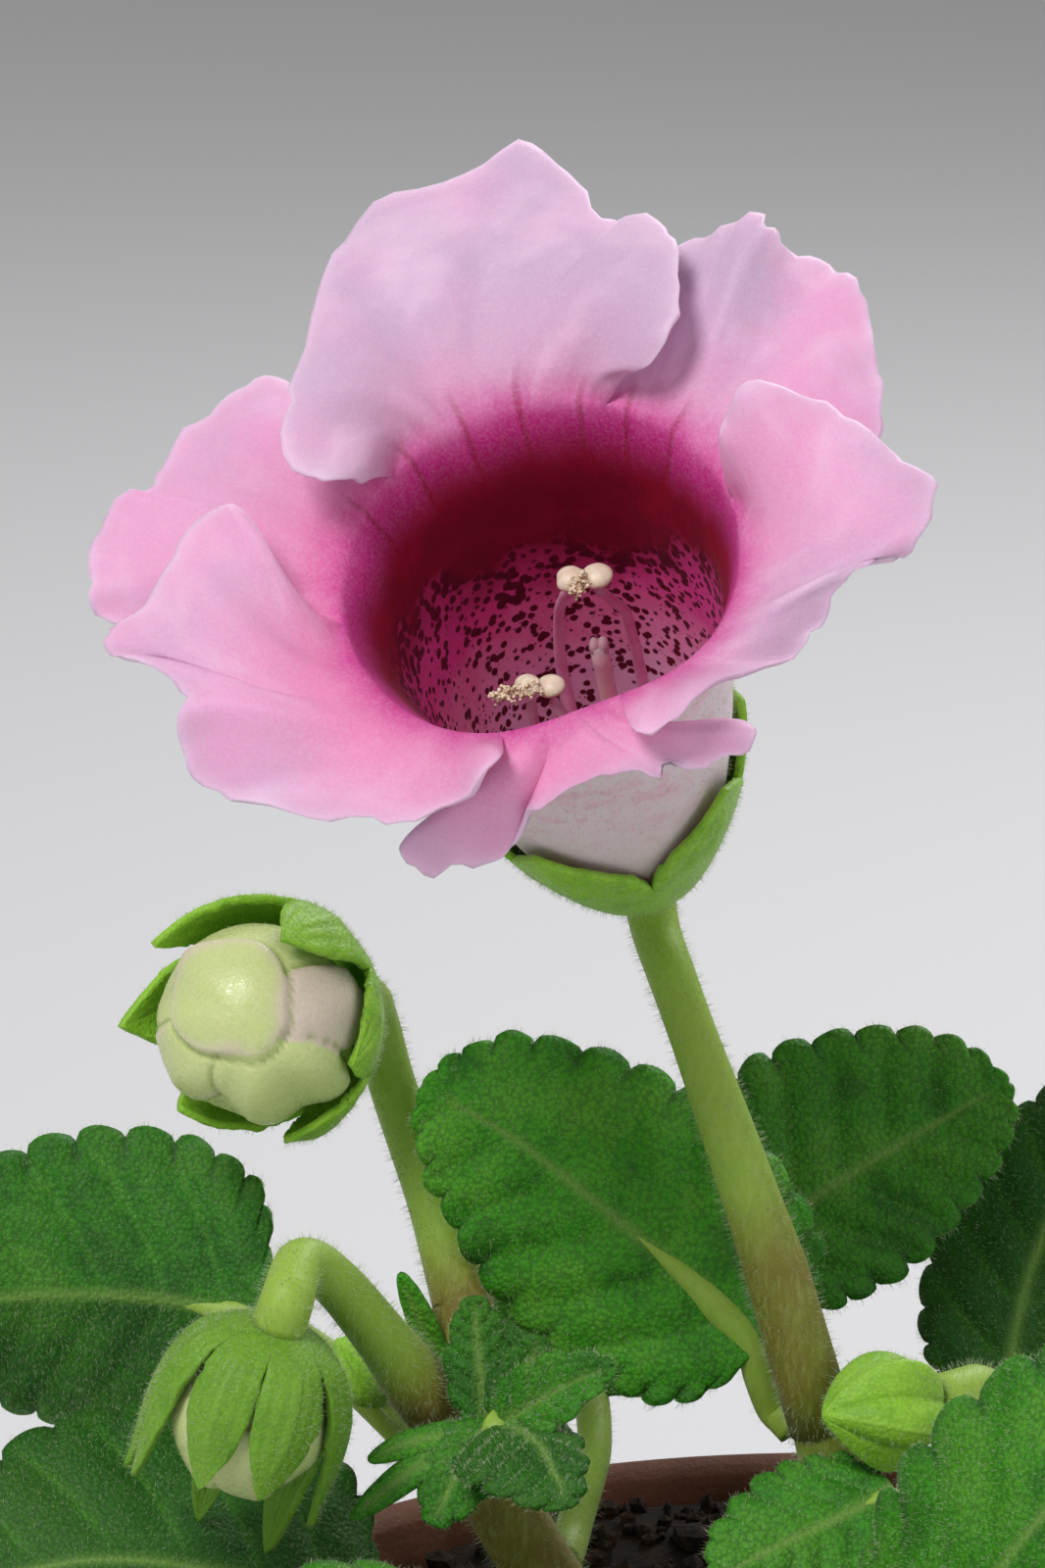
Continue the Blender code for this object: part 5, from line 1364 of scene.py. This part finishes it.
def build_shoots():
    """Each shoot with the stalks of its flower and buds, and their hairs."""
    radii = [SHOOT_RADIUS] * 4 + [2.8]
    shoots = [
        ("right", 7500, 31, [
            grown(SHOOT_RIGHT, radii, 5, 0.9, 0.6),
            grown(FLOWER_STALK + stalk_end(FLOWER, -53),
                  [3.2, 2.9, 2.7, 2.5, 2.3, 2.3, 2.4, 2.8], 14, 0.85, 0),
            grown(BUD_3_STALK + stalk_end(BUD_3, 0)[1:], [2.2, 2.2, 2.4, 2.6, 2.6], 7, 0.5,
                  0)]),
        ("left", 9000, 33, [
            grown(SHOOT_LEFT, radii, 5, 0.75, 0.9),
            grown(BUD_1_STALK + stalk_end(BUD_1, -11.8),
                  [3.1, 2.8, 2.5, 2.4, 2.3, 2.3, 2.6], 12, 0.9, 0),
            grown(BUD_2_STALK + stalk_end(BUD_2, -10),
                  [3.3, 3.1, 2.7, 2.5, 2.4, 2.4, 2.6], 12, 1.05, 0.2),
            grown(BUD_4_STALK + stalk_end(BUD_4, 0)[1:], [1.5, 1.6, 1.8], 3, 0.5, 0.1)]),
    ]
    tufts = []
    for side, count, seed, stalks in shoots:
        item = model(side + "_shoot", stalks, ["stalk"])
        declare(item, "stem", "shoot_" + side)
        tufts.append(tufts_on(item, count, seed, length("stalk_hair"), 0.45))
    declare(NODE_BRACT.item("node_bract"), "stem")
    hairs("stalk_hairs", "stem", tufts, length("hair_width"), 9)


# ---------------------------------------------------------------- leaves

VEINS = 6                   # lateral veins on each side of a midrib
LEAF_COLUMNS = 36
ROWS_PER_TOOTH = 9
UPPER_HAIRS = 3.6           # hairs on each square millimetre
LOWER_HAIRS = 0.6
MARGIN_HAIRS = 14           # hairs along each millimetre of a leaf's length


def blade_width(along):
    """Share of the full half-width at a fraction of the leaf's length."""
    inside = np.clip(along, 0, 1)
    return inside ** 0.30 * (1 - inside) ** 0.55 / 0.576


@dataclass
class Leaf:
    """A scalloped blade on a spine, with its own width, folds and curl on each side.

    Its petiole starts on a shoot at a height. Its painted shade darkens the whole blade of
    a leaf that lies in shade, and the quilt is the share of the full relief between its veins.
    """
    points: list
    facing: tuple
    right: float
    left: float
    teeth: int
    bite: float
    folds: tuple = (0, 0)
    curl: float = 0
    # painted shade of the whole blade, from 0 to 1
    painted_shade: float = 0
    quilt: float = 1
    shoot: list = None
    height: float = 0
    petiole: list = None

    def __post_init__(self):
        self.spine = Spine(self.points)
        self.facing = unit(np.array(self.facing, float))

    def axes(self, along):
        """Directions along the rib, across the blade and up from it."""
        heading = self.spine.heading(along)
        side = unit(np.cross(heading, self.facing))
        return heading, side, unit(np.cross(side, heading))

    def place(self, along, across, quilt, side_share, puff=0):
        """Points of the blade at fractions of its length and distances from its rib."""
        _, side, up = self.axes(along)
        width = np.where(across > 0, self.right, self.left)
        share = np.abs(across) / width
        fold = np.radians(np.where(across > 0, *self.folds))
        phase = VEINS * (np.clip(along, 0, 1) - 0.19 * share - 0.06 * share ** 2)
        swell = np.clip(5 * share * (1.1 - share), 0, 1)
        vein = hump(np.abs(phase % 1 - 0.5), 0.07) * swell * (1 - ease(side_share, 0.75, 1))
        bulge = np.cos(math.tau * phase) * swell
        cross = np.cos(math.tau * (5.5 * share + 0.5 * np.floor(phase + 0.5)))
        rib = hump(np.abs(across), blend(0.75, 0.28, np.clip(along, 0, 1)))
        rib = rib * (1 - ease(along, 0.86, 0.99))
        relief = quilt * (0.6 * bulge - 0.62 * vein + 0.2 * cross * swell - 0.5 * rib)
        relief += puff - 0.35 * side_share ** 8
        lift = np.abs(across) * np.sin(fold) + self.curl * width * share ** 2 + relief
        points = (self.spine.at(along) + side * (across * np.cos(fold))[:, None]
                  + up * lift[:, None])
        return points, rib, vein, bulge * swell

    def outline(self, way, side):
        """Where the margin runs: along the leaf and out from its rib."""
        width = np.where(side > 0, self.right, self.left)
        size = self.spine.length
        along, ahead, behind = (0.5 - 0.5 * np.cos(math.pi * np.clip(value, 0, 1))
                                for value in (way, way + 0.01, way - 0.01))
        run = (ahead - behind) * size
        climb = (blade_width(ahead) - blade_width(behind)) * width
        steep = np.hypot(run, climb)
        rise = np.clip(np.sin(math.pi * (way * self.teeth % 1) ** 1.25), 0, 1) ** 0.5
        wobble = 1 + 0.22 * ripple(way, self.teeth, 3, 3)
        out = self.bite * (rise * wobble - 0.5) * ease(way, 0, 0.04) * ease(way, 1, 0.985)
        return along * size, blade_width(along) * width, -out * climb / steep, out * run / steep

    def reach(self, way, sign, share, quilt=0, puff=0):
        """Points at a share of the way out from the rib, which the margin's teeth shape."""
        along, half, forward, outward = self.outline(way, sign)
        weight = share ** 5
        return self.place((along + forward * weight) / self.spine.length,
                          sign * (half * share + outward * weight), quilt, share, puff)

    def shape(self, across, way):
        """The blade as one patch, from one margin to the other."""
        aside = 2 * across - 1
        share = np.abs(aside) ** 1.25
        phase = (way * self.teeth) % 1
        outer = ease(share, 0.7, 0.96)
        swollen = np.sin(math.pi * phase ** 1.25) ** 0.7 - 0.6
        points, rib, vein, bulge = self.reach(way, np.sign(aside), share,
                                              length("quilt") * self.quilt,
                                              0.4 * self.bite * swollen * outer)
        return {"points": points, "rib": rib, "vein": vein, "painted_shade": self.painted_shade,
                # bulge also marks where the finish paints highlight on the blade
                "bulge": np.clip(bulge, 0, 1),
                # crease marks where the finish paints shade between the teeth
                "crease": hump(np.minimum(phase, 1 - phase), 0.1) * outer}

    def item(self, name):
        """The blade's sheet as a piece with a paler underside."""
        return model(name, [Patch(LEAF_COLUMNS, self.teeth * ROWS_PER_TOOTH, self.shape)],
                     ["leaf", "leaf_under"], length("blade"))

    def area(self):
        return (self.right + self.left) * self.spine.length

    def fringe(self, density, seed, size):
        """Hairs that stand out from the margin, so many to each millimetre of the leaf."""
        count = int(density * self.spine.length * settings().hair_share)
        rng = np.random.default_rng(seed)
        way = rng.uniform(0.01, 0.99, count)
        sign = np.where(rng.random(count) < 0.5, -1, 1)
        roots, inner = (self.reach(way, sign, share)[0] for share in (1, 0.95))
        ways = unit(roots - inner) + rng.normal(size=(count, 3)) * 0.35
        return roots, ways, size * rng.uniform(0.7, 1.3, count)

    def stalk(self):
        """The leaf's stalk, which runs on below the blade as the start of its midrib."""
        ribs = [tuple(self.spine.at(along) - self.axes(along)[2] * depth) for along, depth in
                ((0.02, 1), (0.12, 0.7), (0.24, 0.55), (0.5, 0.5), (0.8, 0.35))]
        thick = 0.105 * (self.right + self.left) ** 0.85
        path = seat(self.shoot, self.height, self.petiole[0], thick) + self.petiole + ribs
        radii = ([thick] * 2 + [0.92 * thick] * (len(path) - 6)
                 + [0.6 * thick, 0.5, 0.36, 0.2])
        return grown(path, radii, 10, 0.35, 0.1, 16)


LEAVES = {
    "centre": Leaf(
        [(-8.6, 1.4, 153), (-15, 4, 159), (-23.4, 5, 166), (-32, 4, 173.2), (-40.2, 1.2, 179)],
        (0.15, -0.9, 0.3), 14.4, 13.2, 14, 1.1, (2, -8), -0.12, shoot=SHOOT_RIGHT,
        height=140.5, petiole=[(-6.9, 2.9, 146.6), (-8.2, 2.4, 149.8)]),
    "back_right": Leaf(
        [(-10.6, 13, 159), (-3, 16.6, 163), (6, 19.4, 168), (16.2, 21, 173.6)],
        (0.1, -0.85, 0.5), 10.6, 14.6, 13, 1.1, (6, 4), -0.1, 0.28, shoot=SHOOT_RIGHT,
        height=140, petiole=[(0.6, 7.6, 145), (-6.4, 11.2, 152.6)]),
    "far_right": Leaf(
        [(16.2, 14, 144), (18.4, 19, 153.6), (22.6, 23.4, 163), (29.4, 27, 173)],
        (-0.25, -0.9, 0.25), 10.6, 10.6, 13, 0.9, (8, -4), -0.12, 0.8, shoot=SHOOT_RIGHT,
        height=122, petiole=[(8.4, 11, 130), (14.2, 13.6, 138)]),
    "front_right": Leaf(
        [(2.4, -30, 126), (9, -37, 139), (18, -42, 153.5), (31, -45, 168.5)],
        (-0.35, -0.75, 0.55), 16, 16.5, 11, 1.9, (0, -6), -0.12, 0.25, shoot=SHOOT_RIGHT,
        height=117, petiole=[(2, -12, 118.2), (2, -22, 120.6)]),
    "low_right": Leaf(
        [(4, -11, 143), (-1.6, -15, 141.4), (-7, -18.4, 140), (-12.8, -22, 138)],
        (-0.2, -0.75, 0.62), 7.6, 7.8, 9, 0.9, (0, -12), -0.1, 0.25, shoot=SHOOT_RIGHT,
        height=136.5, petiole=[(2, -7.4, 138.6), (4.4, -9, 141)]),
    "left": Leaf(
        [(-56.6, 8, 154), (-68, 10, 155.4), (-80, 9.6, 155.6), (-92, 7, 154.4)],
        (0, -0.93, 0.36), 16, 16.4, 14, 1.2, (6, -42), -0.08, 0.5, shoot=SHOOT_LEFT,
        height=135, petiole=[(-42, 10.6, 141), (-50, 10.2, 149)]),
    "low_left": Leaf(
        [(-46, -6.6, 128.4), (-58, -9, 133.6), (-72, -11.4, 136), (-87, -13.4, 133)],
        (0.1, -0.62, 0.78), 20, 16, 13, 1.2, (0, -4), -0.1, 0.75, shoot=SHOOT_LEFT,
        height=118, petiole=[(-31, -2, 121), (-39, -4.6, 125)]),
    "low_front": Leaf(
        [(-32, -20, 131), (-41, -27, 136), (-49, -34, 138.4), (-57, -42, 137.6)],
        (0.1, -0.45, 0.9), 8.8, 8.8, 9, 0.9, (0, 0), -0.14, shoot=SHOOT_LEFT,
        height=123, petiole=[(-27.6, -8, 125), (-30.4, -15, 128.6)]),
    "front": Leaf(
        [(-16, -24, 130), (-14.6, -38, 137), (-12, -54, 136.6), (-8.6, -70, 129.6)],
        (0, -0.2, 1), 16, 16, 12, 1.3, (-6, -6), -0.2, shoot=SHOOT_LEFT,
        height=113.5, petiole=[(-17.6, -8, 117), (-16.8, -16, 123)]),
    "back_left": Leaf(
        [(-24, 24, 141), (-25, 34, 150), (-25.6, 45, 158), (-25, 57, 163)],
        (0.1, -0.4, 0.9), 14.6, 14.6, 12, 1.1, (8, 8), -0.12, shoot=SHOOT_LEFT,
        height=128, petiole=[(-26, 11, 131.6), (-24, 18, 136.6)]),
}
FAR_LEAVES = ("back_left", "front", "low_front")

SIDE_STUB = [(-34, -5.2, 145.6), (-32.6, -8.2, 148.6)]
NODE_BRACT = Leaf([(-38, 2.2, 146.6), (-40, 2, 153.4), (-42.6, 0.8, 160.4)],
                  (-0.3, -0.9, 0.2), 1.5, 1.4, 2, 0.1, quilt=0.2)
YOUNG_LEAVES = [
    Leaf([(-34.4, -6, 148.4), (-35.2, -4.6, 154), (-35.6, -4, 159.6)],
         (0.1, -0.95, 0.2), 3.2, 3, 5, 0.55, (0, 0), -0.1, 0.5, 0.6),
    Leaf([(-33, -6.6, 148.8), (-30.8, -5.6, 152.6), (-29.4, -5, 156)],
         (0.1, -0.95, 0.2), 2.9, 2.6, 4, 0.5, (0, 0), -0.1, 0.55, 0.6),
    Leaf([(-32.8, -7.8, 148.6), (-27.4, -11, 153), (-22.8, -12.6, 155.6)],
         (0.4, -0.7, 0.6), 3.6, 3.6, 6, 0.7, (18, 18), 0, 0.3, 0.6),
    Leaf([(-32.8, -7.6, 148.4), (-29.4, -14.6, 148.4), (-26.8, -20, 144.6)],
         (0, -0.45, 0.9), 7.3, 4.2, 7, 0.8, (0, 0), -0.18, 0.7),
    Leaf([(-33.8, -6.8, 148), (-37, -10.6, 144.6), (-39.4, -13, 140.4)],
         (-0.1, -0.85, 0.5), 3.6, 3.6, 5, 0.6, (0, 0), -0.1, 0.4, 0.6),
    Leaf([(-35, -6, 147.2), (-41, -8.6, 147), (-45.4, -9.6, 145.6)],
         (0, -0.8, 0.6), 1.3, 1.3, 2, 0.1, quilt=0.2),
    Leaf([(-35, -6.8, 147), (-41.4, -10.2, 144.6), (-47, -12, 140.6)],
         (0, -0.8, 0.6), 1.5, 1.5, 2, 0.1, quilt=0.2),
]


def build_leaves():
    """The ten large leaves, each with its petiole, and their hairs."""
    groups = {"near": [], "far": []}
    size = length("leaf_hair")
    for number, (name, leaf) in enumerate(LEAVES.items()):
        item = leaf.item("blade_" + name)
        declare(item, "leaf", "leaf_" + name)
        tufts = groups["far" if name in FAR_LEAVES else "near"]
        for side, density in ((1, UPPER_HAIRS), (-1, LOWER_HAIRS)):
            tufts.append(tufts_on(item, density * leaf.area(), 200 + number, size, 0.55,
                                  length("blade"), side))
        tufts.append(leaf.fringe(MARGIN_HAIRS, 230 + number, size * 1.3))
    item = model("petioles", [leaf.stalk() for leaf in LEAVES.values()], ["stalk"])
    declare(item, "leaf")
    groups["far"].append(tufts_on(item, 4000, 250, length("stalk_hair"), 0.45))
    for name, tufts in groups.items():
        hairs("leaf_hairs_" + name, "leaf", tufts, length("hair_width"), 12)


def build_side_shoot():
    """The leafy side shoot: its stub, five young leaves, two bracts and their hairs."""
    start = seat(SHOOT_LEFT, 141.5, SIDE_STUB[0], 1.9)
    stub = model("side_stub", [grown(start + SIDE_STUB, [1.9, 2.2, 1.8], 3, 0.5, 0.1)],
                 ["stalk"])
    declare(stub, "young_leaf", "side_shoot")
    tufts = []
    for number, leaf in enumerate(YOUNG_LEAVES):
        item = leaf.item("young_leaf_%d" % (number + 1))
        declare(item, "young_leaf")
        tufts.append(tufts_on(item, 9 * leaf.area(), 300 + number, 0.6, 0.6, length("blade")))
        tufts.append(leaf.fringe(16, 320 + number, 0.8))
    hairs("young_leaf_hairs", "young_leaf", tufts, length("hair_width"), 14)


# ---------------------------------------------------------------- floor, lights and camera

AIM = Vector((-0.028, -0.008, 0.2))
LIGHTS = {"key": ((-0.62, -0.85, 1.35), 0.6), "fill": ((1, -0.7, 0.55), 0.9),
          "back": ((0.45, 0.9, 1), 0.6)}
VIEW_CENTRE = (-31, 209)        # what the middle of the picture shows, in X and Z
VIEW_DISTANCE = 750


def build_stage():
    """A pale floor, soft lights all round and the camera a little above the flower."""
    scene = bpy.context.scene
    stage = scene.gloxinia_stage
    mesh = bmesh.new()
    bmesh.ops.create_grid(mesh, x_segments=1, y_segments=1, size=stage.floor * 0.5)
    floor = add_object("floor", from_bmesh("floor", mesh))
    dress(floor, "floor")
    for (name, (place, size)), energy in zip(LIGHTS.items(),
                                             (stage.key, stage.fill, stage.rim)):
        light = bpy.data.lights.new(name, "AREA")
        light.shape = "DISK"
        light.size = size
        light.energy = energy
        item = add_object(name, light)
        item.location = place
        item.rotation_euler = (AIM - Vector(place)).to_track_quat("-Z", "Y").to_euler()
    scene.world = bpy.data.worlds.new("even_light")
    scene.world.use_nodes = True
    sky = scene.world.node_tree.nodes["Background"]
    sky.inputs["Color"].default_value = (1, 1, 1, 1)
    sky.inputs["Strength"].default_value = stage.sky
    scene.view_settings.view_transform = "Standard"
    lens = bpy.data.cameras.new("camera")
    lens.lens = 183.4
    lens.sensor_width = 36
    lens.clip_start = 0.01
    lens.clip_end = 100
    scene.camera = add_object("camera", lens)
    scene.camera.location = (VIEW_CENTRE[0] * MM, -VIEW_DISTANCE * math.cos(VIEW_TILT) * MM,
                             (VIEW_CENTRE[1] + VIEW_DISTANCE * math.sin(VIEW_TILT)) * MM)
    scene.camera.rotation_euler = (math.radians(90) - VIEW_TILT, 0, 0)


# ---------------------------------------------------------------- operators and panel

DONE = {"FINISHED"}


class GLOXINIA_OT_stage(bpy.types.Operator):
    """Build the floor, the lights and the camera"""
    bl_idname = "gloxinia.stage"
    bl_label = "Stage"

    def execute(self, context):
        build_stage()
        return DONE


class GLOXINIA_OT_pot(bpy.types.Operator):
    """Build the clay pot"""
    bl_idname = "gloxinia.pot"
    bl_label = "Clay Pot"

    def execute(self, context):
        build_pot()
        return DONE


class GLOXINIA_OT_soil(bpy.types.Operator):
    """Dress the soil and the tuber, which keep their solids, and lay crumbs on the soil"""
    bl_idname = "gloxinia.soil"
    bl_label = "Soil and Tuber"

    def execute(self, context):
        build_soil()
        dress(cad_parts["tuber"], "tuber")
        return DONE


class GLOXINIA_OT_flower(bpy.types.Operator):
    """Build the open flower's petals with their down"""
    bl_idname = "gloxinia.flower"
    bl_label = "Open Flower"

    def execute(self, context):
        build_corolla()
        return DONE


class GLOXINIA_OT_stamens(bpy.types.Operator):
    """Build the filaments, both pairs of anthers and the pistil"""
    bl_idname = "gloxinia.stamens"
    bl_label = "Stamens and Pistil"

    def execute(self, context):
        build_stamens()
        for pair in ANTHERS:
            build_anthers(*pair)
        build_pistil()
        return DONE


class GLOXINIA_OT_buds(bpy.types.Operator):
    """Build the calyxes and the four buds with their down"""
    bl_idname = "gloxinia.buds"
    bl_label = "Calyxes and Buds"

    def execute(self, context):
        build_buds()
        return DONE


class GLOXINIA_OT_shoots(bpy.types.Operator):
    """Build both shoots with their stalks and hairs"""
    bl_idname = "gloxinia.shoots"
    bl_label = "Shoots"

    def execute(self, context):
        build_shoots()
        return DONE


class GLOXINIA_OT_leaves(bpy.types.Operator):
    """Build the large leaves, their petioles and hairs"""
    bl_idname = "gloxinia.leaves"
    bl_label = "Leaves"

    def execute(self, context):
        build_leaves()
        return DONE


class GLOXINIA_OT_side_shoot(bpy.types.Operator):
    """Build the leafy side shoot and its hairs"""
    bl_idname = "gloxinia.side_shoot"
    bl_label = "Side Shoot"

    def execute(self, context):
        build_side_shoot()
        return DONE


OPERATORS = (GLOXINIA_OT_stage, GLOXINIA_OT_pot, GLOXINIA_OT_soil, GLOXINIA_OT_flower,
             GLOXINIA_OT_stamens, GLOXINIA_OT_buds, GLOXINIA_OT_shoots, GLOXINIA_OT_leaves,
             GLOXINIA_OT_side_shoot)
GROUPS = {"gloxinia_sizes": GloxiniaSizes, "gloxinia_colours": GloxiniaColours,
          "gloxinia_stage": GloxiniaStage}


class GLOXINIA_PT_panel(bpy.types.Panel):
    """Sizes, colours and the pieces in the order they are built"""
    bl_idname = "GLOXINIA_PT_panel"
    bl_label = "Potted Gloxinia"
    bl_space_type = "VIEW_3D"
    bl_region_type = "UI"
    bl_category = "Gloxinia"

    def draw(self, context):
        for name in GROUPS:
            group = getattr(context.scene, name)
            box = self.layout.box()
            box.label(text=name.split("_")[1].title())
            for key in group.__annotations__:
                box.prop(group, key)
        for operator in OPERATORS:
            self.layout.operator(operator.bl_idname)


CLASSES = (*GROUPS.values(), *OPERATORS, GLOXINIA_PT_panel)


def register():
    for item in CLASSES:
        bpy.utils.register_class(item)
    for name, group in GROUPS.items():
        setattr(bpy.types.Scene, name, PointerProperty(type=group))


def unregister():
    for name in GROUPS:
        delattr(bpy.types.Scene, name)
    for item in reversed(CLASSES):
        bpy.utils.unregister_class(item)


def main():
    """Build every piece."""
    register()
    for operator in OPERATORS:
        group, name = operator.bl_idname.split(".")
        getattr(getattr(bpy.ops, group), name)()


if __name__ == "__main__":
    main()
